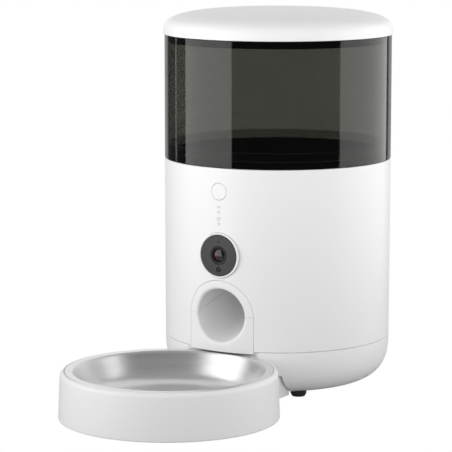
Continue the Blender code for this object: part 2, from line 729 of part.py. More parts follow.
def make_dosing_rotor():
    """A hub with vanes, and a six-sided socket for the drive shaft."""
    outline = []
    root = math.asin(ROTOR_VANE_ROOT_THICKNESS / 2 / ROTOR_HUB_RADIUS)
    tip = math.asin(ROTOR_VANE_THICKNESS / 2 / ROTOR_RADIUS)
    for vane in range(ROTOR_VANES):
        middle = 2 * math.pi * vane / ROTOR_VANES
        for radius, turn in ((ROTOR_HUB_RADIUS, -root), (ROTOR_RADIUS, -tip), (ROTOR_RADIUS, tip),
                             (ROTOR_HUB_RADIUS, root), (ROTOR_HUB_RADIUS, math.pi / ROTOR_VANES)):
            outline.append((radius * math.cos(middle + turn), radius * math.sin(middle + turn)))
    rotor = slab("dosing_rotor", "feeder_axis", outline, ROTOR_BOTTOM, ROTOR_TOP)
    socket = rod(
        "rotor socket", "feeder_axis", DRIVE_SHAFT_RADIUS + DRIVE_SOCKET_GAP,
        DRIVE_HEX_TOP + DRIVE_SOCKET_GAP, ROTOR_BOTTOM - OVERRUN, 6, True,
    )
    stem_hole = rod(
        "agitator hole", "feeder_axis", AGITATOR_STEM_RADIUS + FIT_GAP, ROTOR_TOP + OVERRUN,
        ROTOR_TOP - AGITATOR_STEM_DEPTH - FIT_GAP, FINE_STEPS, True,
    )
    cut(rotor, socket, stem_hole)
    return rotor


def make_agitator():
    """Two arms over the rotor that keep the food loose."""
    bottom = ROTOR_TOP + FIT_GAP
    levels = [
        (AGITATOR_HUB_RADIUS, bottom + AGITATOR_HUB_HEIGHT, bottom),
        (AGITATOR_STEM_RADIUS, bottom, ROTOR_TOP - AGITATOR_STEM_DEPTH),
    ]
    agitator = stepped_rod("agitator", "feeder_axis", levels)
    level = bottom + AGITATOR_ARM_HEIGHT
    arm = across_rod(
        "agitator arms", "feeder_axis", AGITATOR_ARM_RADIUS, (-AGITATOR_ARM_REACH, 0, level),
        (AGITATOR_ARM_REACH, 0, level), is_tool=True,
    )
    join(agitator, arm)
    return agitator


def make_hopper_seat():
    """A funnel-shaped tray that carries the hopper and shuts the electronics off from the food."""
    flange_bottom = SEAT_TOP - SEAT_FLANGE_THICKNESS
    inner_top = SHOULDER_RADIUS + SEAT_CLEARANCE
    cone_bottom = CHAMBER_TOP - SEAT_CLEARANCE / 2
    profile = [
        (COLLAR_RADIUS, SEAT_TOP),
        (COLLAR_RADIUS, flange_bottom),
        (inner_top + SEAT_WALL, flange_bottom),
        (SEAT_OUTER_RADIUS, cone_bottom - SEAT_CLEARANCE),
        (SEAT_OUTER_RADIUS, SEAT_FLOOR_BOTTOM),
        (BUSH_RADIUS + FIT_GAP, SEAT_FLOOR_BOTTOM),
        (BUSH_RADIUS + FIT_GAP, SEAT_FLOOR_TOP),
        (SEAT_INNER_RADIUS, SEAT_FLOOR_TOP),
        (SEAT_INNER_RADIUS, cone_bottom),
        (inner_top, SEAT_TOP),
    ]
    seat = turned("hopper_seat", "feeder_axis", profile)
    hole = rod(
        "seat outlet cutter", "feeder_axis", CHUTE_THROAT_RADIUS, SEAT_FLOOR_TOP + OVERRUN,
        SEAT_FLOOR_BOTTOM - OVERRUN, MIDDLE_STEPS, True, (0, -OUTLET_REACH, 0),
    )
    cut(seat, hole)
    return seat


def arch_outline(half_width, bottom, middle):
    """A doorway shape: straight sides with a half circle on top, as (x, z) points."""
    outline = [(-half_width, bottom), (half_width, bottom)]
    for step in range(MIDDLE_STEPS // 2 + 1):
        turn = 2 * math.pi * step / MIDDLE_STEPS
        outline.append((half_width * math.cos(turn), middle + half_width * math.sin(turn)))
    return outline


def arch_tool(name, half_width, bottom, middle):
    """The arch as a solid that passes through the housing's front wall."""
    outline = arch_outline(half_width, bottom, middle)
    return slab(name, "front_view", outline, BUTTON_BOARD_REACH, FRONT_REACH, True)


def make_main_housing():
    """The round casing, with its ledge, its posts and every opening in its wall."""
    profile = [
        (HOUSING_TOP_RADIUS, TANK_SEAT_HEIGHT),
        (HOUSING_FOOT_RADIUS, HOUSING_BOTTOM),
        (HOUSING_FOOT_RADIUS - HOUSING_WALL, HOUSING_BOTTOM),
        (TANK_INNER_RADIUS, LEDGE_TOP - LEDGE_HEIGHT),
        (TANK_INNER_RADIUS - LEDGE_REACH, LEDGE_TOP - LEDGE_HEIGHT),
        (TANK_INNER_RADIUS - LEDGE_REACH, LEDGE_TOP),
        (TANK_INNER_RADIUS, LEDGE_TOP),
        (TANK_INNER_RADIUS, TANK_SEAT_HEIGHT),
    ]
    housing = turned("main_housing", "feeder_axis", profile)
    join_posts(housing)
    cut_front_openings(housing)
    cut_rear_openings(housing)
    return housing


def join_posts(housing):
    """Screw posts with their ribs, and the posts that carry the two boards and the speaker."""
    top = HOUSING_BOTTOM + SCREW_POST_HEIGHT
    post_radius = SCREW_SHANK_RADIUS + FIT_GAP + SCREW_POST_WALL
    lip_top = BASE_TOP + BASE_LIP_RISE
    wall_middle = HOUSING_FOOT_RADIUS - HOUSING_WALL / 2
    for number, angle in enumerate(SCREW_ANGLES):
        place = (SCREW_CIRCLE * math.cos(angle), SCREW_CIRCLE * math.sin(angle), 0)
        name = f"screw post {number}"
        post = rod(name, "feeder_axis", post_radius, top, HOUSING_BOTTOM, FINE_STEPS, True, place)
        low = (SCREW_CIRCLE, -SCREW_RIB_WIDTH / 2, lip_top + FIT_GAP)
        high = (wall_middle, SCREW_RIB_WIDTH / 2, top - SCREW_RIB_WIDTH)
        rib = block(f"screw rib {number}", "feeder_axis", low, high, True)
        rib.rotation_euler = (0, 0, angle)
        hole = rod(
            f"screw post hole {number}", "feeder_axis", SCREW_SHANK_RADIUS + FIT_GAP, top - SCREW_POST_WALL,
            HOUSING_BOTTOM - OVERRUN, FINE_STEPS, True, place,
        )
        join(housing, post, rib)
        cut(housing, hole)
    for side in (-1, 1):
        for level in FRONT_POST_HEIGHTS:
            start = (side * FRONT_POST_SPREAD, -BUTTON_BOARD_REACH - FIT_GAP, level)
            end = (side * FRONT_POST_SPREAD, -wall_middle, level)
            name = f"front post {side} {level}"
            post = across_rod(name, "feeder_axis", BOARD_POST_RADIUS, start, end, is_tool=True)
            join(housing, post)
        for rise in (REAR_POST_RISE, MAIN_BOARD_SIZE[2] - REAR_POST_RISE):
            level = MAIN_BOARD_BOTTOM + rise
            across = side * REAR_POST_SPREAD
            start = (across, MAIN_BOARD_REACH + MAIN_BOARD_SIZE[1] + FIT_GAP, level)
            end = (across, math.sqrt(wall_middle ** 2 - across ** 2), level)
            name = f"rear post {side} {rise}"
            post = across_rod(name, "feeder_axis", REAR_POST_RADIUS, start, end, is_tool=True)
            join(housing, post)
    collar = ring(
        "speaker collar", "speaker_axis", SPEAKER_RADIUS + FIT_GAP + SPEAKER_RING_WALL,
        SPEAKER_RADIUS + FIT_GAP, wall_middle, speaker_back(), MIDDLE_STEPS, True,
    )
    join(housing, collar)


def speaker_front():
    return wall_radius(SPEAKER_HEIGHT) - HOUSING_WALL - SPEAKER_SETBACK


def speaker_back():
    return speaker_front() - SPEAKER_DEPTH


def cut_front_openings(housing):
    """The chute's arch, the camera hole, the button hole and the two light holes."""
    cut(housing, arch_tool(
        "arch opening", CHUTE_PANEL_HALF_WIDTH + FIT_GAP, SEAM_HEIGHT - OVERRUN, CHUTE_SPLIT_HEIGHT
    ))
    outside = HOUSING_TOP_RADIUS + OVERRUN
    inside = BUTTON_BOARD_REACH + OVERRUN
    for name, axis, radius in (
        ("camera opening", "camera_axis", BEZEL_RADIUS),
        ("button opening", "button_axis", BUTTON_RADIUS),
    ):
        cut(housing, rod(name, axis, radius + FIT_GAP, outside, inside, MIDDLE_STEPS, True))
    for number, level in enumerate(LIGHT_HEIGHTS):
        place = (0, level - BUTTON_HEIGHT, 0)
        hole = rod(
            f"light opening {number}", "button_axis", LIGHT_RADIUS + FIT_GAP, outside, inside, FINE_STEPS,
            True, place,
        )
        cut(housing, hole)


def cut_rear_openings(housing):
    """The power inlet, the reset button's hole and the speaker's grille."""
    wide, deep, tall = INLET_SIZE
    low = (-wide / 2 - FIT_GAP, MAIN_BOARD_REACH, INLET_HEIGHT - tall / 2 - FIT_GAP)
    high = (wide / 2 + FIT_GAP, HOUSING_TOP_RADIUS + OVERRUN, INLET_HEIGHT + tall / 2 + FIT_GAP)
    cut(housing, block("inlet opening", "feeder_axis", low, high, True))
    outside = HOUSING_TOP_RADIUS + OVERRUN
    radius = RESET_RADIUS + FIT_GAP
    reset = rod("reset opening", "reset_axis", radius, outside, speaker_back(), FINE_STEPS, True)
    cut(housing, reset)
    places = [(0, 0)] + round_places(GRILLE_HOLES, GRILLE_CIRCLE)
    for number, (across, along) in enumerate(places):
        hole = rod(
            f"grille hole {number}", "speaker_axis", GRILLE_HOLE_RADIUS, outside, speaker_front() - OVERRUN,
            FINE_STEPS, True, (across, along, 0),
        )
        cut(housing, hole)


def chute_stations():
    """The bore's centre line as (y, z, radius), from in front of the mouth up past the seat's floor."""
    mouth = Vector((-wall_radius(CHUTE_MOUTH_HEIGHT), CHUTE_MOUTH_HEIGHT))
    slope = Vector((math.cos(CHUTE_SLOPE), math.sin(CHUTE_SLOPE)))
    ramp_end = mouth + slope * CHUTE_RAMP_LENGTH
    top = Vector((-OUTLET_REACH, GEAR_CASE_TOP))
    pull = (top - ramp_end).length * CHUTE_BEND_PULL_SHARE
    first = ramp_end + slope * pull
    second = top - Vector((0, pull))
    stations = [(*(mouth - slope * OVERRUN * 2), CHUTE_MOUTH_RADIUS), (*mouth, CHUTE_MOUTH_RADIUS)]
    for step in range(CHUTE_BEND_STEPS + 1):
        share = step / CHUTE_BEND_STEPS
        rest = 1 - share
        point = (
            ramp_end * rest ** 3 + first * 3 * share * rest ** 2
            + second * 3 * share ** 2 * rest + top * share ** 3
        )
        radius = CHUTE_MOUTH_RADIUS + (CHUTE_THROAT_RADIUS - CHUTE_MOUTH_RADIUS) * share
        stations.append((*point, radius))
    stations.append((-OUTLET_REACH, SEAT_FLOOR_TOP + OVERRUN, CHUTE_THROAT_RADIUS))
    return stations


def offset_line(points, distance):
    """A line of (y, z) points moved sideways: up and forward for a positive distance."""
    moved = []
    for index, point in enumerate(points):
        before = Vector(points[max(index - 1, 0)])
        after = Vector(points[min(index + 1, len(points) - 1)])
        along = (after - before).normalized()
        moved.append(tuple(Vector(point) + Vector((-along.y, along.x)) * distance))
    return moved


def chute_half(name, tube_name, is_upper):
    """Half of the tube with its part of the arch panel, split along the tube's centre line."""
    stations = chute_stations()
    drop = CHUTE_MOUTH_HEIGHT - CHUTE_SPLIT_HEIGHT
    line = [(along, height - drop) for along, height, _ in stations[1:-2]]
    front = -FRONT_REACH
    line = [(front, CHUTE_SPLIT_HEIGHT)] + line + [(-OUTLET_REACH, GEAR_CASE_TOP)]
    side = FIT_GAP / 2 if is_upper else -FIT_GAP / 2
    line = offset_line(line, side)
    line[-1] = (line[-1][0], GEAR_CASE_TOP)
    corners = [(front, GEAR_CASE_TOP)] if is_upper else [(0, GEAR_CASE_TOP), (0, 0), (front, 0)]
    wide = HOUSING_TOP_RADIUS
    half = slab(f"{tube_name} region", "feeder_axis", line + corners, -wide, wide, True, True)
    tube = swept(name, "feeder_axis", [(*station[:2], station[2] + CHUTE_WALL) for station in stations])
    keep(tube, half, wall_solid(f"{tube_name} reach"))
    half_width = CHUTE_PANEL_HALF_WIDTH
    panel = wall_ring(f"{tube_name} panel", CHUTE_PANEL_BOTTOM, CHUTE_SPLIT_HEIGHT + 2 * half_width)
    arch = arch_tool(f"{tube_name} arch", half_width, CHUTE_PANEL_BOTTOM - OVERRUN, CHUTE_SPLIT_HEIGHT)
    keep(panel, arch, half)
    join(tube, panel)
    return tube


def wall_solid(name):
    """Everything inside the middle of the housing's wall, so that inner pieces end within it."""
    middle = HOUSING_WALL / 2
    profile = [
        (0, TANK_SEAT_HEIGHT),
        (wall_radius(TANK_SEAT_HEIGHT) - middle, TANK_SEAT_HEIGHT),
        (wall_radius(0) - middle, 0),
        (0, 0),
    ]
    return turned(name, "feeder_axis", profile, closed=False, is_tool=True)


def wall_ring(name, bottom, top):
    """A ring that follows the housing's wall between two heights, with its bottom end cut true."""
    profile = [
        (wall_radius(top), top),
        (wall_radius(bottom), bottom),
        (wall_radius(bottom) - HOUSING_WALL, bottom),
        (wall_radius(top) - HOUSING_WALL, top),
    ]
    return turned(name, "feeder_axis", profile, is_tool=True)


def chute_bore(name):
    """The bore, with a wider cone at the mouth that rounds its edge."""
    bore = swept(f"{name} bore", "feeder_axis", chute_stations(), True)
    front = wall_radius(CHUTE_MOUTH_HEIGHT)
    profile = [
        (0, front + OVERRUN),
        (CHUTE_MOUTH_RADIUS + CHUTE_MOUTH_ROUND + OVERRUN, front + OVERRUN),
        (CHUTE_MOUTH_RADIUS - CHUTE_MOUTH_ROUND, front - 2 * CHUTE_MOUTH_ROUND),
        (0, front - 2 * CHUTE_MOUTH_ROUND),
    ]
    flare = turned(f"{name} mouth", "mouth_axis", profile, MIDDLE_STEPS, False, True)
    return bore, flare


def make_chute_upper():
    """The upper half, with a hole on each side for a food sensor."""
    upper = chute_half("chute_upper", "upper tube", True)
    cut(upper, *chute_bore("upper"))
    height, radius = food_sensor_place()
    for side in (-1, 1):
        start = (side * CHUTE_THROAT_RADIUS, -FOOD_SENSOR_REACH, height)
        end = (side * (radius + 2 * CHUTE_WALL), -FOOD_SENSOR_REACH, height)
        hole_radius = FOOD_SENSOR_RADIUS + FIT_GAP
        cut(upper, across_rod(f"sensor hole {side}", "feeder_axis", hole_radius, start, end, is_tool=True))
    return upper


def make_chute_lower():
    """The lower half, with a shelf over the bowl's recess."""
    lower = chute_half("chute_lower", "lower tube", False)
    shelf_bottom = CHUTE_PANEL_BOTTOM + FIT_GAP
    shelf_top = shelf_bottom + CHUTE_SHELF_THICKNESS
    shelf = rod("chute shelf", "bowl_axis", RECESS_RADIUS - FIT_GAP, shelf_top, shelf_bottom, RING_STEPS, True)
    width = CHUTE_PANEL_HALF_WIDTH - FIT_GAP
    high = (width, 0, SEAM_HEIGHT * 2)
    sides = block("chute shelf sides", "feeder_axis", (-width, -FRONT_REACH, 0), high, True)
    keep(shelf, wall_solid("chute shelf reach"), sides)
    join(lower, shelf)
    cut(lower, *chute_bore("lower"))
    return lower


def make_camera_bezel():
    """The white ring round the camera, with a skirt that carries the board."""
    face = wall_radius(CAMERA_HEIGHT) + CAMERA_PROUD
    return ring(
        "camera_bezel", "camera_axis", BEZEL_RADIUS, BEZEL_RADIUS - BEZEL_WALL, face, face - BEZEL_DEPTH,
        MIDDLE_STEPS,
    )


def camera_levels():
    """Places along the camera's axis: the window's face, the window's back and the board's front."""
    face = wall_radius(CAMERA_HEIGHT) + CAMERA_PROUD - WINDOW_RECESS
    back = face - WINDOW_THICKNESS
    board = face + WINDOW_RECESS - BEZEL_DEPTH + CAMERA_BOARD_THICKNESS
    return face, back, board


def make_camera_window():
    """A dark disc with holes for the lens ring, the light sensor and the microphone."""
    face, back, _ = camera_levels()
    radius = BEZEL_RADIUS - BEZEL_WALL - FIT_GAP
    window = ring("camera_window", "camera_axis", radius, LENS_RING_RADIUS + FIT_GAP, face, back, MIDDLE_STEPS)
    sensor = rod(
        "sensor opening", "camera_axis", LIGHT_SENSOR_RADIUS + FIT_GAP, face + OVERRUN, back - OVERRUN,
        FINE_STEPS, True, (0, -LIGHT_SENSOR_DROP, 0),
    )
    microphone = rod(
        "microphone opening", "camera_axis", MICROPHONE_HOLE_RADIUS, face + OVERRUN, back - OVERRUN,
        FINE_STEPS, True, (0, MICROPHONE_RISE, 0),
    )
    cut(window, sensor, microphone)
    return window


def make_lens_pieces():
    """The lens ring, the lens that sits in it and the barrel behind them."""
    face, _, board = camera_levels()
    ring_face = face + LENS_RING_PROUD
    ring_back = ring_face - LENS_RING_DEPTH
    inner = LENS_RING_RADIUS - LENS_RING_WALL
    lens_ring = ring("lens_ring", "camera_axis", LENS_RING_RADIUS, inner, ring_face, ring_back, MIDDLE_STEPS)
    lens_radius = inner - FIT_GAP
    crown_top = ring_face - LENS_RECESS
    dome = super_curve(0, lens_radius, crown_top - LENS_CROWN, LENS_CROWN, 2, 4)
    body = dome + [(lens_radius, ring_back), (0, ring_back)]
    lens = turned("camera_lens", "camera_axis", body, MIDDLE_STEPS, False)
    barrel = rod("camera_barrel", "camera_axis", BARREL_RADIUS, ring_back - FIT_GAP, board + FIT_GAP)
    return lens_ring, lens, barrel


def make_camera_board():
    _, _, board = camera_levels()
    radius = BEZEL_RADIUS - BEZEL_WALL - FIT_GAP
    return rod("camera_board", "camera_axis", radius, board, board - CAMERA_BOARD_THICKNESS, MIDDLE_STEPS)


def make_camera_sensors():
    """The light sensor in the window, and the microphone and the night lights behind it."""
    face, back, board = camera_levels()
    behind = back - FIT_GAP
    foot = board + FIT_GAP
    drop = (0, -LIGHT_SENSOR_DROP, 0)
    sensor = rod("light_sensor", "camera_axis", LIGHT_SENSOR_RADIUS, face, foot, SMALL_STEPS, False, drop)
    rise = (0, MICROPHONE_RISE, 0)
    microphone = rod("microphone", "camera_axis", MICROPHONE_RADIUS, behind, foot, FINE_STEPS, False, rise)
    lights = []
    for name, side in (("night_light_left", -1), ("night_light_right", 1)):
        place = (side * NIGHT_LIGHT_SPREAD, 0, 0)
        lights.append(rod(name, "camera_axis", NIGHT_LIGHT_RADIUS, behind, foot, FINE_STEPS, False, place))
    return sensor, microphone, *lights


def button_levels():
    """Places along the button's axis: its face, its flange's back and its stem's end."""
    face = wall_radius(BUTTON_HEIGHT)
    flange_back = face - BUTTON_CAP_DEPTH - BUTTON_FLANGE_THICKNESS
    return face, flange_back, flange_back - BUTTON_STEM_LENGTH


def make_feed_button():
    """A cap with a flange behind the wall and a stem that reaches for the switch."""
    face, flange_back, stem_end = button_levels()
    flange_front = face - BUTTON_CAP_DEPTH
    levels = [
        (BUTTON_RADIUS, face, flange_front),
        (BUTTON_RADIUS + BUTTON_FLANGE_REACH, flange_front, flange_back),
        (BUTTON_STEM_RADIUS, flange_back, stem_end),
    ]
    return stepped_rod("feed_button", "button_axis", levels, MIDDLE_STEPS)


def make_button_board():
    wide, deep, tall = BUTTON_BOARD_SIZE
    low = (-wide / 2, -BUTTON_BOARD_REACH, BUTTON_BOARD_BOTTOM)
    high = (wide / 2, -BUTTON_BOARD_REACH + deep, BUTTON_BOARD_BOTTOM + tall)
    return block("button_board", "feeder_axis", low, high)


def make_button_switch():
    """The push switch between the board and the button's stem."""
    _, _, stem_end = button_levels()
    top = stem_end - BUTTON_TRAVEL - FIT_GAP
    bottom = BUTTON_BOARD_REACH + FIT_GAP
    half = BUTTON_SWITCH_SIDE / 2
    low = (-half, -(top + bottom) / 2, BUTTON_HEIGHT - half)
    high = (half, -bottom, BUTTON_HEIGHT + half)
    switch = block("button_switch", "feeder_axis", low, high)
    plunger = rod("switch plunger", "button_axis", BUTTON_STEM_RADIUS, top, bottom + FIT_GAP, FINE_STEPS, True)
    join(switch, plunger)
    return switch


def make_light_pipes():
    pipes = []
    for name, level in zip(("light_pipe_upper", "light_pipe_lower"), LIGHT_HEIGHTS):
        place = (0, level - BUTTON_HEIGHT, 0)
        bottom = BUTTON_BOARD_REACH + FIT_GAP
        tip = wall_radius(level)
        pipes.append(rod(name, "button_axis", LIGHT_RADIUS, tip, bottom, FINE_STEPS, False, place))
    return pipes


def gear_outline(teeth, phase):
    """Tooth points with involute flanks: root, pitch line and tip on each side of every tooth."""
    pitch = GEAR_MODULE * teeth / 2
    base = pitch * math.cos(PRESSURE_ANGLE)
    tip = pitch + GEAR_MODULE * GEAR_ADDENDUM_SHARE
    root = pitch - GEAR_MODULE * GEAR_DEDENDUM_SHARE
    half_tooth = math.pi / teeth / 2 - GEAR_BACKLASH / pitch / 2

    def involute(radius):
        lean = math.acos(min(base / radius, 1))
        return math.tan(lean) - lean

    flank = []
    for radius in (root, pitch, tip):
        flank.append((radius, half_tooth + involute(pitch) - involute(radius)))
    outline = []
    for tooth in range(teeth):
        middle = phase + 2 * math.pi * tooth / teeth
        for radius, turn in flank:
            outline.append((radius * math.cos(middle - turn), radius * math.sin(middle - turn)))
        for radius, turn in reversed(flank):
            outline.append((radius * math.cos(middle + turn), radius * math.sin(middle + turn)))
    return outline


def make_drive_gear():
    """The gear that turns the rotor, moulded with its shaft and six-sided drive end."""
    gear = slab("drive_gear", "feeder_axis", gear_outline(DRIVE_TEETH, math.pi / 2), GEAR_BOTTOM, GEAR_TOP)
    shaft_end = GEAR_CASE_BOTTOM + FIT_GAP
    radius = DRIVE_SHAFT_RADIUS
    shaft = rod("drive shaft", "feeder_axis", radius, CHAMBER_FLOOR_HEIGHT, shaft_end, SMALL_STEPS, True)
    hexagon = rod(
        "drive hexagon", "feeder_axis", DRIVE_SHAFT_RADIUS, DRIVE_HEX_TOP, SEAT_FLOOR_TOP - OVERRUN, 6, True
    )
    join(gear, shaft, hexagon)
    return gear


def make_idler_gear():
    space = -math.pi / 2 + math.pi / IDLER_TEETH
    gear = slab("idler_gear", "idler_axis", gear_outline(IDLER_TEETH, space), GEAR_BOTTOM, GEAR_TOP)
    journal = rod(
        "idler journal", "idler_axis", IDLER_JOURNAL_RADIUS,
        GEAR_CASE_TOP - FIT_GAP, GEAR_CASE_BOTTOM + FIT_GAP,
        FINE_STEPS, True,
    )
    join(gear, journal)
    return gear


def make_motor_pinion():
    gear = slab("motor_pinion", "pinion_axis", gear_outline(PINION_TEETH, -math.pi / 2), GEAR_BOTTOM, GEAR_TOP)
    shaft = rod(
        "motor shaft", "pinion_axis", MOTOR_SHAFT_RADIUS, GEAR_TOP + MOTOR_SHAFT_RADIUS,
        MOTOR_TOP - MOTOR_SHAFT_DEPTH, FINE_STEPS, True,
    )
    join(gear, shaft)
    return gear


def make_gear_motor():
    """The motor can, with a boss round its shaft and a blind bore for it."""
    levels = [
        (MOTOR_RADIUS, MOTOR_TOP, MOTOR_TOP - MOTOR_LENGTH),
        (MOTOR_BOSS_RADIUS, MOTOR_TOP - MOTOR_LENGTH, MOTOR_TOP - MOTOR_LENGTH - MOTOR_BOSS_HEIGHT),
    ]
    motor = stepped_rod("gear_motor", "pinion_axis", levels, MIDDLE_STEPS)
    bore = rod(
        "motor bore", "pinion_axis", MOTOR_SHAFT_RADIUS + FIT_GAP, MOTOR_TOP + OVERRUN,
        MOTOR_TOP - MOTOR_SHAFT_DEPTH - FIT_GAP, FINE_STEPS, True,
    )
    cut(motor, bore)
    return motor


def make_gear_case():
    """An open-topped case under the hopper seat, with a bearing hole for each shaft."""
    tip = GEAR_MODULE * GEAR_ADDENDUM_SHARE + GEAR_CASE_CLEARANCE
    half_width = GEAR_MODULE * IDLER_TEETH / 2 + tip
    front = -GEAR_MODULE * DRIVE_TEETH / 2 - tip
    pinion_back = PINION_REACH + GEAR_MODULE * PINION_TEETH / 2 + tip
    back = max(pinion_back, PINION_REACH + MOTOR_RADIUS - GEAR_CASE_WALL)
    wall = GEAR_CASE_WALL
    low = (-half_width - wall, front - wall, GEAR_CASE_BOTTOM)
    case = block("gear_case", "feeder_axis", low, (half_width + wall, back + wall, GEAR_CASE_TOP))
    floor = GEAR_CASE_BOTTOM + GEAR_CASE_FLOOR
    high = (half_width, back, GEAR_CASE_TOP + OVERRUN)
    cut(case, block("gear case inside", "feeder_axis", (-half_width, front, floor), high, True))
    for name, axis, radius in (
        ("drive bearing", "feeder_axis", DRIVE_SHAFT_RADIUS),
        ("idler bearing", "idler_axis", IDLER_JOURNAL_RADIUS),
        ("motor shaft hole", "pinion_axis", MOTOR_SHAFT_RADIUS),
    ):
        hole = rod(name, axis, radius + FIT_GAP, floor + OVERRUN, GEAR_CASE_BOTTOM - OVERRUN, SMALL_STEPS, True)
        cut(case, hole)
    return case


def make_shaft_bush():
    """A flanged bearing pushed up into the seat's floor."""
    flange_top = SEAT_FLOOR_BOTTOM - FIT_GAP
    flange_bottom = flange_top - BUSH_FLANGE_THICKNESS
    profile = [
        (BUSH_RADIUS, SEAT_FLOOR_TOP),
        (BUSH_RADIUS, flange_top),
        (BUSH_RADIUS + BUSH_FLANGE_REACH, flange_top),
        (BUSH_RADIUS + BUSH_FLANGE_REACH, flange_bottom),
        (BUSH_BORE, flange_bottom),
        (BUSH_BORE, SEAT_FLOOR_TOP),
    ]
    return turned("shaft_bush", "feeder_axis", profile, SMALL_STEPS)


def make_main_board():
    """The control board on its posts, with its chips and the reset switch."""
    wide, deep, tall = MAIN_BOARD_SIZE
    back = MAIN_BOARD_REACH + deep
    low = (-wide / 2, MAIN_BOARD_REACH, MAIN_BOARD_BOTTOM)
    board = block("main_board", "feeder_axis", low, (wide / 2, back, MAIN_BOARD_BOTTOM + tall))
    for number, (size, shares) in enumerate(zip(CHIP_SIZES, CHIP_PLACE_SHARES)):
        across = shares[0] * wide
        up = MAIN_BOARD_BOTTOM + shares[1] * tall
        low = (across - size[0] / 2, MAIN_BOARD_REACH - size[1], up - size[2] / 2)
        high = (across + size[0] / 2, MAIN_BOARD_REACH + deep / 2, up + size[2] / 2)
        join(board, block(f"chip {number}", "feeder_axis", low, high, True))
    size = RESET_SWITCH_SIZE
    low = (-RESET_OFFSET - size[0] / 2, MAIN_BOARD_REACH + deep / 2, RESET_HEIGHT - size[2] / 2)
    high = (-RESET_OFFSET + size[0] / 2, back + size[1], RESET_HEIGHT + size[2] / 2)
    join(board, block("reset switch", "feeder_axis", low, high, True))
    return board


def make_power_inlet():
    """The socket for the power lead, open to the back."""
    wide, deep, tall = INLET_SIZE
    start = MAIN_BOARD_REACH + MAIN_BOARD_SIZE[1] + FIT_GAP
    low = (-wide / 2, start, INLET_HEIGHT - tall / 2)
    inlet = block("power_inlet", "feeder_axis", low, (wide / 2, start + deep, INLET_HEIGHT + tall / 2))
    slot_wide, slot_deep, slot_tall = INLET_SLOT_SIZE
    low = (-slot_wide / 2, start + deep - slot_deep, INLET_HEIGHT - slot_tall / 2)
    high = (slot_wide / 2, start + deep + OVERRUN, INLET_HEIGHT + slot_tall / 2)
    cut(inlet, block("inlet slot", "feeder_axis", low, high, True))
    return inlet


def make_reset_button():
    """A small recessed button with a flange inside the wall."""
    outer = wall_radius(RESET_HEIGHT)
    surface = math.sqrt(outer ** 2 - RESET_OFFSET ** 2) - RESET_RECESS
    far_side = RESET_OFFSET + RESET_RADIUS + RESET_FLANGE_REACH
    flange_front = math.sqrt((outer - HOUSING_WALL) ** 2 - far_side ** 2) - 2 * FIT_GAP
    stem_end = MAIN_BOARD_REACH + MAIN_BOARD_SIZE[1] + RESET_SWITCH_SIZE[1] + RESET_TRAVEL + FIT_GAP
    levels = [
        (RESET_RADIUS, surface, flange_front),
        (RESET_RADIUS + RESET_FLANGE_REACH, flange_front, stem_end),
    ]
    return stepped_rod("reset_button", "reset_axis", levels, FINE_STEPS)


def make_speaker():
    front = speaker_front()
    back = speaker_back()
    levels = [
        (SPEAKER_RADIUS, front, back),
        (SPEAKER_MAGNET_RADIUS, back, back - SPEAKER_MAGNET_DEPTH),
    ]
    return stepped_rod("speaker", "speaker_axis", levels, MIDDLE_STEPS)


def food_sensor_place():
    """Where the sensors look across the chute: their height, and the bore's radius at their reach."""
    stations = chute_stations()
    for near, far in zip(stations, stations[1:]):
        if near[0] <= -FOOD_SENSOR_REACH <= far[0]:
            share = (-FOOD_SENSOR_REACH - near[0]) / (far[0] - near[0])
            height = near[1] + (far[1] - near[1]) * share
            radius = near[2] + (far[2] - near[2]) * share
            return height + FOOD_SENSOR_RISE, radius
    return stations[0][1], stations[0][2]


def make_food_sensors():
    height, radius = food_sensor_place()
    sensors = []
    for name, side in (("food_sensor_left", -1), ("food_sensor_right", 1)):
        start = side * (radius + FIT_GAP)
        end = start + side * FOOD_SENSOR_LENGTH
        near = (start, -FOOD_SENSOR_REACH, height)
        far = (end, -FOOD_SENSOR_REACH, height)
        sensors.append(across_rod(name, "feeder_axis", FOOD_SENSOR_RADIUS, near, far))
    return sensors


def base_curve(inset):
    """The base's side from its flat middle out to the seam, drawn in by a wall thickness."""
    floor = BASE_FLAT_HEIGHT + inset
    edge = SEAM_HEIGHT - inset
    outer = HOUSING_FOOT_RADIUS - inset
    points = super_curve(BASE_FLAT_RADIUS, outer, edge, floor - edge, BASE_CURVE_POWER, BASE_CURVE_STEPS)
    return list(reversed(points))


def make_base_shell():
    """The rounded bottom: a thick shell with the bowl's recess, the arm's slot and the battery hole."""
    lip = HOUSING_FOOT_RADIUS - HOUSING_WALL - FIT_GAP
    lip_top = BASE_TOP + BASE_LIP_RISE
    side = base_curve(0)
    side[0] = (HOUSING_FOOT_RADIUS, BASE_TOP)
    profile = [(0, lip_top), (lip, lip_top), (lip, BASE_TOP)] + side + [(0, BASE_FLAT_HEIGHT)]
    base = turned("base_shell", "feeder_axis", profile, closed=False)
    cut(base, make_base_inside(lip - BASE_LIP_WALL, lip_top))
    cut(base, rod("bowl recess", "bowl_axis", RECESS_RADIUS, lip_top + OVERRUN, -OVERRUN, RING_STEPS, True))
    low = (-SLOT_HALF_WIDTH, -FRONT_REACH, -OVERRUN)
    cut(base, block("arm slot", "feeder_axis", low, (SLOT_HALF_WIDTH, -SLOT_BACK_REACH, SLOT_HEIGHT), True))
    wide, long = BATTERY_DOOR_SIZE
    low = (-wide / 2 - FIT_GAP, -long / 2 - FIT_GAP, -OVERRUN)
    high = (wide / 2 + FIT_GAP, long / 2 + FIT_GAP, CELL_HEIGHT)
    cut(base, block("battery opening", "feeder_axis", low, high, True))
    cut_foot_pockets(base)
    cut_screw_holes(base)
    return base


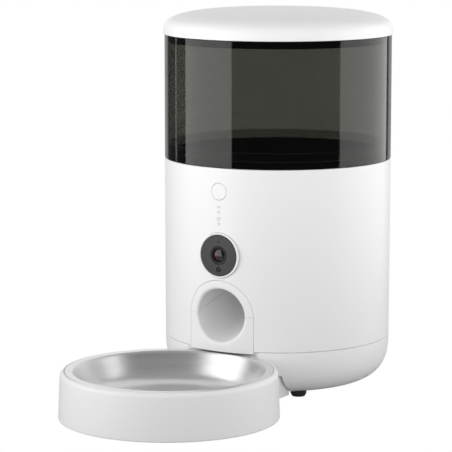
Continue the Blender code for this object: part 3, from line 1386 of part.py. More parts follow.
def make_base_inside(lip_inner, lip_top):
    """The hollow of the base, less the linings that stay standing inside it."""
    side = base_curve(BASE_WALL)
    below_lip = BASE_TOP - BASE_LIP_OVERLAP
    side = [point for point in side if point[1] < below_lip - BASE_WALL]
    start = [(0, lip_top + OVERRUN), (lip_inner, lip_top + OVERRUN), (lip_inner, below_lip)]
    profile = start + side + [(0, BASE_FLAT_HEIGHT + BASE_WALL)]
    inside = turned("base inside", "feeder_axis", profile, closed=False, is_tool=True)
    radius = RECESS_RADIUS + LINING_WALL
    lining = rod("recess lining", "bowl_axis", radius, BASE_TOP, -OVERRUN, RING_STEPS, True)
    low = (-SLOT_HALF_WIDTH - LINING_WALL, -FRONT_REACH, -OVERRUN)
    high = (SLOT_HALF_WIDTH + LINING_WALL, -SLOT_BACK_REACH + LINING_WALL, SLOT_HEIGHT + LINING_WALL)
    cut(inside, lining, block("slot lining", "feeder_axis", low, high, True))
    for number, angle in enumerate(FOOT_ANGLES):
        place = (FOOT_CIRCLE * math.cos(angle), FOOT_CIRCLE * math.sin(angle), 0)
        boss = rod(
            f"foot boss {number}", "feeder_axis", FOOT_RADIUS + FIT_GAP + LINING_WALL,
            FOOT_HEIGHT + FIT_GAP + FOOT_POCKET_ROOF, -OVERRUN, FINE_STEPS * 2, True, place,
        )
        cut(inside, boss)
    for number, angle in enumerate(SCREW_ANGLES):
        place = (SCREW_CIRCLE * math.cos(angle), SCREW_CIRCLE * math.sin(angle), 0)
        post = rod(
            f"base post {number}", "feeder_axis", SCREW_HEAD_RADIUS + FIT_GAP + SCREW_POST_WALL, BASE_TOP,
            -OVERRUN, SMALL_STEPS, True, place,
        )
        cut(inside, post)
    return inside


def cut_foot_pockets(base):
    for number, angle in enumerate(FOOT_ANGLES):
        place = (FOOT_CIRCLE * math.cos(angle), FOOT_CIRCLE * math.sin(angle), 0)
        pocket = rod(
            f"foot pocket {number}", "feeder_axis", FOOT_RADIUS + FIT_GAP, FOOT_HEIGHT + FIT_GAP, -OVERRUN,
            FINE_STEPS * 2, True, place,
        )
        cut(base, pocket)


def cut_screw_holes(base):
    """A clearance hole for each shank, under it a wide hole that takes the head."""
    ledge = SCREW_HEAD_LEVEL + FIT_GAP
    for number, angle in enumerate(SCREW_ANGLES):
        place = (SCREW_CIRCLE * math.cos(angle), SCREW_CIRCLE * math.sin(angle), 0)
        levels = [
            (SCREW_SHANK_RADIUS + FIT_GAP, SEAM_HEIGHT + BASE_LIP_RISE + OVERRUN, ledge),
            (SCREW_HEAD_RADIUS + FIT_GAP, ledge, -OVERRUN),
        ]
        cut(base, stepped_rod(f"screw passage {number}", "feeder_axis", levels, FINE_STEPS, True, place))


def make_feet():
    feet = []
    sole = FOOT_RADIUS * FOOT_SOLE_SHARE
    middle = (FOOT_RADIUS + sole) / 2
    profile = [
        (0, FOOT_HEIGHT),
        (FOOT_RADIUS, FOOT_HEIGHT),
        (FOOT_RADIUS, FOOT_HEIGHT / 2),
        (FOOT_RADIUS - (FOOT_RADIUS - middle) / 2, FOOT_HEIGHT / 4),
        (middle, FOOT_HEIGHT / 12),
        (sole, 0),
        (0, 0),
    ]
    for number, angle in enumerate(FOOT_ANGLES, 1):
        foot = turned(f"foot_{number}", "feeder_axis", profile, FINE_STEPS * 2, closed=False)
        foot.location = (FOOT_CIRCLE * math.cos(angle), FOOT_CIRCLE * math.sin(angle), 0)
        feet.append(foot)
    return feet


def make_base_screws():
    screws = []
    top = SCREW_HEAD_LEVEL
    bottom = top - SCREW_HEAD_HEIGHT
    profile = [
        (0, top + SCREW_LENGTH),
        (SCREW_SHANK_RADIUS, top + SCREW_LENGTH),
        (SCREW_SHANK_RADIUS, top),
        (SCREW_HEAD_RADIUS, top),
        (SCREW_HEAD_RADIUS, bottom),
        (SCREW_DRIVE_RADIUS, bottom),
        (SCREW_DRIVE_RADIUS, bottom + SCREW_DRIVE_DEPTH),
        (0, bottom + SCREW_DRIVE_DEPTH),
    ]
    for number, angle in enumerate(SCREW_ANGLES, 1):
        screw = turned(f"base_screw_{number}", "feeder_axis", profile, FINE_STEPS, closed=False)
        screw.location = (SCREW_CIRCLE * math.cos(angle), SCREW_CIRCLE * math.sin(angle), 0)
        screws.append(screw)
    return screws


def cell_bay():
    """Half sizes of the room that the cells and their contacts take: across X and along Y."""
    half_length = (CELL_LENGTH + CELL_TIP_LENGTH) / 2 + 2 * FIT_GAP + CONTACT_THICKNESS + FIT_GAP
    half_row = CELL_SPACING * (CELLS - 1) / 2 + CELL_RADIUS + FIT_GAP
    return half_length, half_row


def make_battery_box():
    """An upturned tray over the battery opening."""
    half_length, half_row = cell_bay()
    bottom = BASE_FLAT_HEIGHT + BASE_WALL + FIT_GAP
    roof = CELL_HEIGHT + CELL_RADIUS + FIT_GAP
    wide = max(half_length + BATTERY_BOX_WALL, BATTERY_DOOR_SIZE[0] / 2 + BATTERY_BOX_WALL)
    long = max(half_row + BATTERY_BOX_WALL, BATTERY_DOOR_SIZE[1] / 2 + BATTERY_BOX_WALL)
    outline = rounded_outline(wide, long, BATTERY_BOX_CORNER)
    box = slab("battery_box", "feeder_axis", outline, bottom, roof + BATTERY_BOX_WALL)
    low = (-half_length, -half_row, bottom - OVERRUN)
    cut(box, block("battery box inside", "feeder_axis", low, (half_length, half_row, roof), True))
    return box


def make_battery_door():
    wide, long = BATTERY_DOOR_SIZE
    bottom = BASE_FLAT_HEIGHT + FIT_GAP
    low = (-wide / 2, -long / 2, bottom)
    high = (wide / 2, long / 2, BASE_FLAT_HEIGHT + BASE_WALL)
    return block("battery_door", "feeder_axis", low, high)


def make_battery_cells():
    cells = []
    half = (CELL_LENGTH + CELL_TIP_LENGTH) / 2
    for number in range(CELLS):
        along = CELL_SPACING * (number - (CELLS - 1) / 2)
        levels = [(CELL_TIP_RADIUS, half, half - CELL_TIP_LENGTH), (CELL_RADIUS, half - CELL_TIP_LENGTH, -half)]
        cell = stepped_rod(f"battery_cell_{number + 1}", "cell_frame", levels)
        cell.location = (0, along, 0)
        if number % 2:
            cell.rotation_euler = (math.pi, 0, 0)
        cells.append(cell)
    return cells


def make_battery_contacts():
    """A springy strip at each end of the row of cells."""
    half_length, half_row = cell_bay()
    contacts = []
    for name, side in (("battery_contact_left", -1), ("battery_contact_right", 1)):
        outer = side * (half_length - FIT_GAP)
        inner = side * (half_length - FIT_GAP - CONTACT_THICKNESS)
        low = (min(outer, inner), -half_row + FIT_GAP, CELL_HEIGHT - CONTACT_HEIGHT / 2)
        high = (max(outer, inner), half_row - FIT_GAP, CELL_HEIGHT + CONTACT_HEIGHT / 2)
        contacts.append(block(name, "feeder_axis", low, high))
    return contacts


def bowl_inside():
    """The bowl's inner wall as (radius, height) points, from its mouth down to its floor."""
    depth = FLANGE_HEIGHT - BOWL_FLOOR_HEIGHT
    wall = [(BOWL_MOUTH_RADIUS * across, BOWL_FLOOR_HEIGHT + depth * up) for across, up in BOWL_WALL_SHARES]
    return [(BOWL_MOUTH_RADIUS, FLANGE_HEIGHT)] + wall + [(0, BOWL_FLOOR_HEIGHT)]


def moved_out(points, distance):
    """A wall line moved outwards and down along its own normals, its last point straight down."""
    moved = []
    for index, (radius, height) in enumerate(points):
        before = Vector(points[max(index - 1, 0)])
        after = Vector(points[min(index + 1, len(points) - 1)])
        along = (after - before).normalized()
        moved.append((radius - along.y * distance, height + along.x * distance))
    moved[-1] = (0, points[-1][1] - distance)
    return moved


def make_steel_bowl():
    """A pressed bowl of even thickness with a flat flange."""
    inside = bowl_inside()
    outside = moved_out(inside[1:], BOWL_METAL)
    under = FLANGE_HEIGHT - BOWL_METAL
    flange = [
        (BOWL_FLANGE_RADIUS, FLANGE_HEIGHT),
        (BOWL_FLANGE_RADIUS, under),
        (BOWL_MOUTH_RADIUS + BOWL_METAL / 2, under),
    ]
    return turned("steel_bowl", "bowl_axis", list(reversed(inside)) + flange + outside, closed=False)


def point_at_height(line, level):
    """Where a falling line of (radius, height) points passes a height."""
    above = [point for point in line if point[1] >= level][-1]
    below = [point for point in line if point[1] < level][0]
    share = (level - below[1]) / (above[1] - below[1])
    return (below[0] + (above[0] - below[0]) * share, level)


def make_bowl_holder():
    """The round tray's shell, with the ledge that carries the bowl and the arm that plugs into the base."""
    ledge_inner = BOWL_MOUTH_RADIUS + BOWL_METAL / 2 + FIT_GAP
    ledge_bottom = LEDGE_LEVEL - HOLDER_WALL
    top = [
        (ledge_inner, ledge_bottom),
        (ledge_inner, LEDGE_LEVEL),
        (HOLDER_RIM_RADIUS, LEDGE_LEVEL),
        (HOLDER_RIM_RADIUS, HOLDER_RIM_HEIGHT),
    ]
    corner_across = HOLDER_CORNER_RADIUS - HOLDER_RIM_RADIUS
    corner_up = HOLDER_RIM_HEIGHT - HOLDER_CORNER_HEIGHT
    corner = []
    for step in range(1, HOLDER_ROUND_STEPS + 1):
        turn = math.pi / 2 * step / HOLDER_ROUND_STEPS
        across = HOLDER_RIM_RADIUS + corner_across * math.sin(turn)
        corner.append((across, HOLDER_CORNER_HEIGHT + corner_up * math.cos(turn)))
    foot = HOLDER_FOOT_LEVEL
    inner_foot = HOLDER_FOOT_RADIUS - HOLDER_FOOT_RIM
    outside = [
        (HOLDER_FOOT_RADIUS, foot + HOLDER_FOOT_ROUND),
        (HOLDER_FOOT_RADIUS - HOLDER_FOOT_ROUND, foot),
        (inner_foot, foot),
        (inner_foot, foot + HOLDER_FOOT_THICKNESS),
        (HOLDER_FOOT_RADIUS - HOLDER_WALL, foot + HOLDER_FOOT_THICKNESS),
        (HOLDER_CORNER_RADIUS - HOLDER_WALL, ledge_bottom),
    ]
    holder = turned("bowl_holder", "bowl_axis", top + corner + outside)
    outer = HOLDER_FOOT_RADIUS - GRIP_RING_INSET + FIT_GAP
    inner = outer - GRIP_RING_WIDTH - 2 * FIT_GAP
    depth = GRIP_RING_HEIGHT + FIT_GAP
    groove = ring("grip groove", "bowl_axis", outer, inner, depth, -OVERRUN, is_tool=True)
    join(holder, make_holder_arm())
    cut(holder, groove)
    return holder


def make_holder_dish():
    """The round dish under the bowl. Its flange is welded under the ledge of the holder's shell."""
    line = moved_out(bowl_inside()[1:], BOWL_METAL + FIT_GAP)
    under_line = moved_out(line, HOLDER_WALL)
    flange_bottom = DISH_TOP - DISH_FLANGE_THICKNESS
    inside = [point_at_height(line, DISH_TOP)]
    inside += [point for point in line if point[1] < DISH_TOP]
    under = [point_at_height(under_line, flange_bottom)]
    under += [point for point in under_line if point[1] < flange_bottom]
    radius = HOLDER_CORNER_RADIUS - HOLDER_WALL - 2 * FIT_GAP
    flange = [(radius, DISH_TOP), (radius, flange_bottom)]
    return turned("holder_dish", "bowl_axis", list(reversed(inside)) + flange + under, closed=False)


def make_holder_arm():
    """The arm as a hollow bar, open underneath, that starts inside the holder's outer wall."""
    end = -SLOT_BACK_REACH - ARM_END_GAP
    low = (-ARM_HALF_WIDTH, -BOWL_REACH, ARM_BOTTOM)
    arm = block("holder arm", "feeder_axis", low, (ARM_HALF_WIDTH, end, ARM_TOP), True)
    inner = ARM_HALF_WIDTH - ARM_WALL
    low = (-inner, -BOWL_REACH - ARM_WALL, ARM_BOTTOM - OVERRUN)
    cut(arm, block("arm inside", "feeder_axis", low, (inner, end - ARM_WALL, ARM_TOP - ARM_WALL), True))
    start = HOLDER_CORNER_RADIUS - HOLDER_WALL / 2
    cut(arm, rod("arm start", "bowl_axis", start, ARM_TOP + OVERRUN, -OVERRUN, RING_STEPS, True))
    return arm


def make_holder_grip_ring():
    outer = HOLDER_FOOT_RADIUS - GRIP_RING_INSET
    return ring("holder_grip_ring", "bowl_axis", outer, outer - GRIP_RING_WIDTH, GRIP_RING_HEIGHT, 0)


def settle(pieces):
    """Give each piece its final mesh, shaded smooth with its edges kept sharp."""
    bpy.context.view_layer.update()
    depsgraph = bpy.context.evaluated_depsgraph_get()
    meshes = [bpy.data.meshes.new_from_object(piece.evaluated_get(depsgraph)) for piece in pieces]
    for piece, mesh in zip(pieces, meshes):
        shape = bmesh.new()
        shape.from_mesh(mesh)
        bmesh.ops.remove_doubles(shape, verts=shape.verts, dist=FIT_GAP / 100)
        bmesh.ops.dissolve_degenerate(shape, edges=shape.edges, dist=FIT_GAP / 100)
        shape.to_mesh(mesh)
        shape.free()
        piece.modifiers.clear()
        piece.data = mesh
        mesh.name = piece.name
        mesh.shade_smooth()
        mesh.set_sharp_from_angle(angle=SMOOTH_ANGLE)


def make_frames():
    """The axes that pieces are drawn on. On the sideways ones +Z points out of the feeder."""
    forward = (math.pi / 2, 0, 0)
    backward = (-math.pi / 2, 0, 0)
    make_frame("feeder_axis", (0, BODY_Y, 0))
    make_frame("bowl_axis", (0, BOWL_Y, 0))
    make_frame("front_view", (0, BODY_Y, 0), forward)
    make_frame("camera_axis", (0, BODY_Y, CAMERA_HEIGHT), forward)
    make_frame("button_axis", (0, BODY_Y, BUTTON_HEIGHT), forward)
    make_frame("mouth_axis", (0, BODY_Y, CHUTE_MOUTH_HEIGHT), forward)
    make_frame("reset_axis", (-RESET_OFFSET, BODY_Y, RESET_HEIGHT), backward)
    make_frame("speaker_axis", (0, BODY_Y, SPEAKER_HEIGHT), backward)
    make_frame("idler_axis", (0, BODY_Y + IDLER_REACH, 0))
    make_frame("pinion_axis", (0, BODY_Y + PINION_REACH, 0))
    make_frame("cell_frame", (0, BODY_Y, CELL_HEIGHT), (0, math.pi / 2, 0))


def make_feeder():
    white = plastic("white plastic", (0.88, 0.88, 0.88), 0.38)
    smoked = plastic("smoked plastic", (0.03, 0.03, 0.028), 0.12, alpha=0.6)
    black = plastic("black plastic", (0.018, 0.018, 0.018), 0.45)
    rubber = plastic("dark rubber", (0.035, 0.035, 0.035), 0.75)
    silicone = plastic("grey silicone", (0.10, 0.10, 0.10), 0.65)
    steel = plastic("brushed steel", (0.62, 0.61, 0.60), 0.28, 1)
    glass = plastic("lens glass", (0.02, 0.01, 0.03), 0.05)
    window = plastic("dark window", (0.045, 0.045, 0.045), 0.30)
    board = plastic("circuit board", (0.02, 0.16, 0.07), 0.5)
    gear = plastic("gear plastic", (0.75, 0.72, 0.62), 0.4)
    grey = plastic("inner plastic", (0.45, 0.46, 0.47), 0.55)
    brass = plastic("bearing metal", (0.65, 0.48, 0.22), 0.35, 1)
    wrap = plastic("cell wrap", (0.05, 0.09, 0.20), 0.35)
    clear = plastic("light pipe", (0.80, 0.82, 0.85), 0.2)

    paint(white, make_lid(), make_main_housing(), make_base_shell(), make_chute_upper(), make_chute_lower())
    paint(white, make_camera_bezel(), make_feed_button(), make_moisture_box(), make_battery_door())
    paint(white, make_bowl_holder(), make_holder_dish())
    paint(smoked, make_hopper_tank())
    paint(black, make_hopper_funnel(), make_lid_seal(), make_reset_button(), make_power_inlet())
    lens_ring, lens, barrel = make_lens_pieces()
    paint(black, lens_ring, barrel)
    paint(glass, lens)
    paint(window, make_camera_window())
    paint(silicone, make_portion_baffle(), make_agitator(), make_moisture_cover())
    paint(grey, make_hopper_seat(), make_gear_case(), make_battery_box())
    paint(gear, make_dosing_rotor(), make_drive_gear(), make_idler_gear(), make_motor_pinion())
    paint(steel, make_gear_motor(), make_steel_bowl(), *make_base_screws(), *make_battery_contacts())
    paint(brass, make_shaft_bush())
    paint(board, make_camera_board(), make_button_board(), make_main_board())
    paint(black, make_speaker(), make_button_switch(), *make_camera_sensors(), *make_food_sensors())
    paint(clear, *make_light_pipes())
    paint(rubber, make_holder_grip_ring(), *make_feet())
    paint(wrap, *make_battery_cells())


remove_everything()
parts = make_collection("pet_feeder")
cutters = make_collection("cutters")
cutters.hide_render = True
make_frames()
make_feeder()
settle([thing for thing in parts.objects if thing.type == "MESH"])
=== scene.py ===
# %% [markdown]
# This lesson dresses a pet feeder with a camera for a picture. The feeder has a smoked food hopper on a
# white round housing, and its chute drops food into a steel bowl that stands in a plug-in holder.
# The solid model is already made and comes in as a fixed frame. Nearly every visible piece is then made
# again with finer shapes in the same place, and rides on the body that it belongs to.

# %% Load the solid model
import math

import bmesh
import bpy
from mathutils import Matrix, Vector


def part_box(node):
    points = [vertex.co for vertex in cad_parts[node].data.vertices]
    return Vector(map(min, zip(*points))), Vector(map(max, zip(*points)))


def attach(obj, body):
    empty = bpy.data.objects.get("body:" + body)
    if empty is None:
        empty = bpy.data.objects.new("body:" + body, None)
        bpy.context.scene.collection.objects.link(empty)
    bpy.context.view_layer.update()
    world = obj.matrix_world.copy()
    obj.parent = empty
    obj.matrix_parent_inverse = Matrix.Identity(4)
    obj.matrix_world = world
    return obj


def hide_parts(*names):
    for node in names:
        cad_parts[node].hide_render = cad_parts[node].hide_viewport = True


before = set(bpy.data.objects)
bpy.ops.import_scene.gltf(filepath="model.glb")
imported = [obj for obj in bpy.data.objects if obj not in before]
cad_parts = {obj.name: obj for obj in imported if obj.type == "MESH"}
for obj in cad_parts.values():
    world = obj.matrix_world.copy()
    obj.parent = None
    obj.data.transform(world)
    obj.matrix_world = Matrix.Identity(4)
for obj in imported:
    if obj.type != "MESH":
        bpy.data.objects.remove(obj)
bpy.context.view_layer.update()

# %% [markdown]
# Every size below is in millimetres, as on a drawing, and one helper turns it into metres. The feeder
# stands on its own upright axis and the bowl on another, and both are read from the frame.

# %% Measure where the two axes stand
MM = 0.001
SMOOTH_ANGLE = math.radians(30)
FINE_TURN = 192
SMALL_TURN = 64
MERGE_DISTANCE = 1e-6


def middle_of(node):
    low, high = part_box(node)
    return Vector(((low.x + high.x) / 2, (low.y + high.y) / 2, 0))


feeder_axis = middle_of("hopper_tank")
bowl_axis = middle_of("steel_bowl")
print("feeder axis", feeder_axis[:], "bowl axis", bowl_axis[:])

# %% [markdown]
# Shader trees and geometry trees are built from the same two moves: add a node, and set or link its
# inputs. One small function does both, so that each tree below reads like a list of its nodes. Three
# short ones cover what every finish here needs: a new material with its Object coordinates, a value
# moved to another range, and a colour made lighter or darker.


# %% Helpers for node trees
def feed(tree, node, inputs):
    """Set each named input to a value, or link it to the socket that is given."""
    for name, value in inputs.items():
        if isinstance(value, bpy.types.NodeSocket):
            tree.links.new(value, node.inputs[name])
        else:
            node.inputs[name].default_value = value


def add_node(tree, kind, inputs=None, **settings):
    node = tree.nodes.new(kind)
    for name, value in settings.items():
        setattr(node, name, value)
    feed(tree, node, inputs or {})
    return node


def new_finish(name, colour, alpha=1):
    """A new material with its tree, its shader and the Object coordinates."""
    material = bpy.data.materials.new(name)
    material.use_nodes = True
    material.diffuse_color = (*colour, alpha)
    tree = material.node_tree
    place = add_node(tree, "ShaderNodeTexCoord").outputs["Object"]
    return material, tree, tree.nodes["Principled BSDF"], place


def between(tree, value, low, high, at_low, at_high):
    """Move a value from one range to another, and stop at its ends."""
    return add_node(tree, "ShaderNodeMapRange", {
        "Value": value, "From Min": low, "From Max": high, "To Min": at_low, "To Max": at_high,
    }).outputs["Result"]


def toned(tree, colour, factor):
    """A colour times a factor."""
    node = add_node(tree, "ShaderNodeVectorMath", {0: colour, "Scale": factor}, operation="SCALE")
    return node.outputs["Vector"]


def noise(tree, place, scale, detail):
    node = add_node(tree, "ShaderNodeTexNoise", {"Vector": place, "Scale": float(scale), "Detail": detail})
    return node.outputs["Fac"]


def bumped(tree, height, strength, distance):
    """Normals from a height pattern, with the distance in millimetres."""
    node = add_node(tree, "ShaderNodeBump", {
        "Height": height, "Strength": strength, "Distance": distance * MM,
    })
    return node.outputs["Normal"]


# %% [markdown]
# Moulded plastic is never quite even. A fine spark-eroded texture breaks up its shine, and a slow drift
# of tone keeps a large wall from looking drawn. Both come from noise on Object coordinates, so that they
# stay on the piece when it moves. The same recipe, with other numbers, gives rubber, silicone and the
# painted parts inside.


# %% Moulded finishes
def moulded(name, colour, roughness, grain, relief, drift, shine_level=0.5):
    material, tree, shader, place = new_finish(name, colour)
    fine = noise(tree, place, grain, 3.0)
    tone = between(tree, noise(tree, place, 14, 2.0), 0.0, 1.0, 1 - drift, 1 + drift)
    feed(tree, shader, {
        "Base Color": toned(tree, colour, tone),
        "Roughness": between(tree, fine, 0.0, 1.0, roughness * 0.85, roughness * 1.15),
        "Normal": bumped(tree, fine, relief, 0.2),
        "Specular IOR Level": shine_level,
    })
    return material


white_plastic = moulded("white satin plastic", (0.87, 0.87, 0.875), 0.36, 1400, 0.03, 0.006)
black_plastic = moulded("black satin plastic", (0.012, 0.012, 0.012), 0.42, 1100, 0.05, 0.05)
seal_rubber = moulded("black seal rubber", (0.003, 0.003, 0.003), 0.8, 800, 0.1, 0.05, 0.05)
funnel_black = moulded("dull black plastic", (0.003, 0.003, 0.003), 0.8, 900, 0.05, 0.05, 0.05)
grey_silicone = moulded("grey silicone", (0.10, 0.10, 0.105), 0.6, 700, 0.12, 0.04)
inner_grey = moulded("inner grey plastic", (0.45, 0.46, 0.47), 0.5, 900, 0.06, 0.03)
gear_resin = moulded("natural gear resin", (0.75, 0.72, 0.62), 0.38, 1200, 0.04, 0.03)
foot_rubber = moulded("dark foot rubber", (0.020, 0.020, 0.021), 0.55, 600, 0.15, 0.06)
cell_wrap = moulded("blue cell wrap", (0.05, 0.09, 0.20), 0.3, 300, 0.03, 0.05)
dark_window = moulded("dark camera window", (0.037, 0.037, 0.038), 0.25, 1500, 0.01, 0.02)
mark_ink = moulded("grey printed ink", (0.50, 0.51, 0.52), 0.5, 1500, 0.02, 0.05)
frosted_light = moulded("frosted light guide", (0.80, 0.81, 0.83), 0.3, 1500, 0.05, 0.02)
print("moulded finishes ready")

# %% [markdown]
# The hopper wall is clear plastic with a grey dye. A real sheet darkens what is behind it, and mirrors
# the studio like a thin black mirror. Full transmission with a dark base colour gives both. A ray that
# has crossed a whole wall, through its two faces, has the colour once.


# %% Smoked clear plastic
def smoked(name, tint):
    material, tree, shader, place = new_finish(name, tint, 0.5)
    flow = noise(tree, place, 9, 1.0)
    feed(tree, shader, {
        "Base Color": toned(tree, tint, between(tree, flow, 0.0, 1.0, 0.985, 1.015)),
        "Normal": bumped(tree, flow, 0.02, 1),
        "Roughness": 0.02, "IOR": 1.5, "Transmission Weight": 1,
    })
    return material


smoked_plastic = smoked("smoked hopper plastic", (0.228, 0.231, 0.208))
light_smoke = smoked("thin smoked plastic", (0.48, 0.49, 0.44))
print("smoked plastic ready")

# %% [markdown]
# The bowl is spun steel, brushed in rings. Under a lamp such rings draw bright fans towards the middle.
# Polar coordinates give the rings: the noise changes quickly with the distance from the bowl's axis and
# slowly along the ring. It drives the tone, the roughness and a faint bump.


# %% Metals
RING_DRIFT = 0.0012


def brushed_rings(name, colour, roughness, centre, strength):
    material, tree, shader, place = new_finish(name, colour)
    moved = add_node(tree, "ShaderNodeMapping", {"Vector": place, "Location": (-centre.x, -centre.y, 0)})
    flat = add_node(tree, "ShaderNodeSeparateXYZ", {"Vector": moved.outputs["Vector"]}).outputs
    across = add_node(tree, "ShaderNodeCombineXYZ", {"X": flat["X"], "Y": flat["Y"]})
    reach = add_node(tree, "ShaderNodeVectorMath", {0: across.outputs["Vector"]}, operation="LENGTH")
    turn = add_node(tree, "ShaderNodeMath", {0: flat["Y"], 1: flat["X"]}, operation="ARCTAN2")
    slow_turn = add_node(tree, "ShaderNodeMath", {
        0: turn.outputs["Value"], 1: RING_DRIFT,
    }, operation="MULTIPLY")
    rings = add_node(tree, "ShaderNodeCombineXYZ", {
        "X": reach.outputs["Value"], "Y": slow_turn.outputs["Value"], "Z": flat["Z"],
    })
    brush = noise(tree, rings.outputs["Vector"], 2600, 4.0)
    feed(tree, shader, {
        "Base Color": toned(tree, colour, between(tree, brush, 0.0, 1.0, 0.93, 1.07)),
        "Roughness": between(tree, brush, 0.0, 1.0, roughness * 0.7, roughness * 1.3),
        "Normal": bumped(tree, brush, strength, 0.05),
        "Metallic": 1,
    })
    return material


brushed_steel = brushed_rings("brushed bowl steel", (0.78, 0.78, 0.78), 0.34, bowl_axis, 0.15)
plated_steel = brushed_rings("plated steel", (0.62, 0.62, 0.63), 0.25, feeder_axis, 0.05)
bearing_bronze = brushed_rings("bearing bronze", (0.60, 0.42, 0.20), 0.35, feeder_axis, 0.10)
print("metals ready")

# %% [markdown]
# A camera lens looks like a drop of dark glass. The coloured reflection of its coating is painted into the
# base colour
# as a painted sheen: it slides from magenta on one side to green on the other, and fades to black at the rim.
# Object coordinates place it, and a clear coat gives the sharp sparks of light.


# %% Lens glass with a painted coating reflection
def lens_with_painted_sheen(name, centre, reach):
    material, tree, shader, place = new_finish(name, (0.05, 0.02, 0.05))
    moved = add_node(tree, "ShaderNodeVectorMath", {0: place, 1: centre}, operation="SUBTRACT")
    axes = add_node(tree, "ShaderNodeSeparateXYZ", {"Vector": moved.outputs["Vector"]}).outputs
    side = between(tree, axes["X"], -0.7 * reach, 0.7 * reach, 0.0, 1.0)
    # Painted reflection: the coating's coloured sheen, magenta to green, is painted into the base colour.
    painted_sheen = add_node(tree, "ShaderNodeValToRGB", {"Fac": side})
    stops = painted_sheen.color_ramp.elements
    stops[0].color = (0.22, 0.01, 0.08, 1)
    stops[1].color = (0.01, 0.08, 0.03, 1)
    stops.new(0.52).color = (0.02, 0.01, 0.03, 1)
    flat = add_node(tree, "ShaderNodeCombineXYZ", {"X": axes["X"], "Z": axes["Z"]})
    away = add_node(tree, "ShaderNodeVectorMath", {0: flat.outputs["Vector"]}, operation="LENGTH")
    painted_sheen_fade = between(tree, away.outputs["Value"], 0.25 * reach, 0.9 * reach, 1.0, 0.06)
    feed(tree, shader, {
        "Base Color": toned(tree, painted_sheen.outputs["Color"], painted_sheen_fade),
        "Roughness": 0.06, "IOR": 1.5, "Coat Weight": 0.5, "Coat Roughness": 0.02,
    })
    return material


# %% [markdown]
# Circuit boards show a green mask with faint copper traces under it. A brick pattern on Object
# coordinates is enough for the traces, because the boards sit deep inside the housing.


# %% Circuit board
def board_finish(name):
    material, tree, shader, place = new_finish(name, (0.012, 0.11, 0.05))
    upright = add_node(tree, "ShaderNodeMapping", {"Vector": place, "Rotation": (math.pi / 2, 0, 0)})
    traces = add_node(tree, "ShaderNodeTexBrick", {
        "Vector": upright.outputs["Vector"],
        "Color1": (0.012, 0.11, 0.05, 1), "Color2": (0.015, 0.13, 0.06, 1),
        "Mortar": (0.03, 0.20, 0.09, 1), "Scale": 160.0, "Mortar Size": 0.03,
    })
    feed(tree, shader, {"Base Color": traces.outputs["Color"], "Roughness": 0.35})
    return material


circuit_board = board_finish("green circuit board")
print("board finish ready")

# %% [markdown]
# Most of the feeder's pieces are turned shapes: one outline carried round an axis. Geometry Nodes does
# this well, with a circle as the path and the outline as the profile that Curve to Mesh carries along it.
# The outline is an ordinary mesh of edges. The tree has two named inputs, the number of steps and the
# material, and the result becomes a plain mesh before anything else is done with it.


# %% A geometry tree that turns an outline round an axis
def start_tree(name, inputs):
    """A geometry tree with named inputs of given kinds, and the sockets that hand them on."""
    tree = bpy.data.node_groups.new(name, "GeometryNodeTree")
    for socket, kind in inputs.items():
        tree.interface.new_socket(socket, in_out="INPUT", socket_type="NodeSocket" + kind)
    tree.interface.new_socket("Shape", in_out="OUTPUT", socket_type="NodeSocketGeometry")
    return tree, add_node(tree, "NodeGroupInput").outputs


def end_tree(tree, shape, material):
    """Make every copy real, give the shape its finish and hand it out."""
    real = add_node(tree, "GeometryNodeRealizeInstances", {"Geometry": shape})
    painted = add_node(tree, "GeometryNodeSetMaterial", {
        "Geometry": real.outputs["Geometry"], "Material": material,
    })
    add_node(tree, "NodeGroupOutput", {"Shape": painted.outputs["Geometry"]})
    return tree


def turning_tree():
    tree, given = start_tree("Turn an outline", {
        "Outline": "Geometry", "Steps": "Int", "Material": "Material",
    })
    outline = add_node(tree, "GeometryNodeMeshToCurve", {"Mesh": given["Outline"]})
    path = add_node(tree, "GeometryNodeCurvePrimitiveCircle", {"Resolution": given["Steps"], "Radius": 1.0})
    swept = add_node(tree, "GeometryNodeCurveToMesh", {
        "Curve": path.outputs["Curve"], "Profile Curve": outline.outputs["Curve"],
    })
    merged = add_node(tree, "GeometryNodeMergeByDistance", {
        "Geometry": swept.outputs["Mesh"], "Distance": MERGE_DISTANCE,
    })
    return end_tree(tree, merged.outputs["Geometry"], given["Material"])


turn_an_outline = turning_tree()


def evaluated_mesh(thing):
    """The plain mesh that an object's modifiers make."""
    bpy.context.view_layer.update()
    return bpy.data.meshes.new_from_object(thing.evaluated_get(bpy.context.evaluated_depsgraph_get()))


def run_tree(thing, tree, values):
    """Run a geometry tree on an object with its named inputs set, and give back a plain mesh."""
    step = thing.modifiers.new(tree.name, "NODES")
    step.node_group = tree
    for socket in tree.interface.items_tree:
        if socket.in_out == "INPUT" and socket.name in values:
            step[socket.identifier] = values[socket.name]
    mesh = evaluated_mesh(thing)
    bpy.data.objects.remove(thing)
    return mesh


print("turning tree ready")

# %% [markdown]
# A moulded edge is never sharp. An outline is therefore written as corners with a rounding each, and a
# helper swaps every corner for a small arc. It also puts a point on the straight part just before and
# after each arc. Without that point, smooth shading would bend the light over the whole tall wall, and
# the clear hopper would act as a lens. Another helper draws a smooth line through a few points, for
# pressed metal.


# %% Outlines with rounded corners
SUPPORT = 0.3


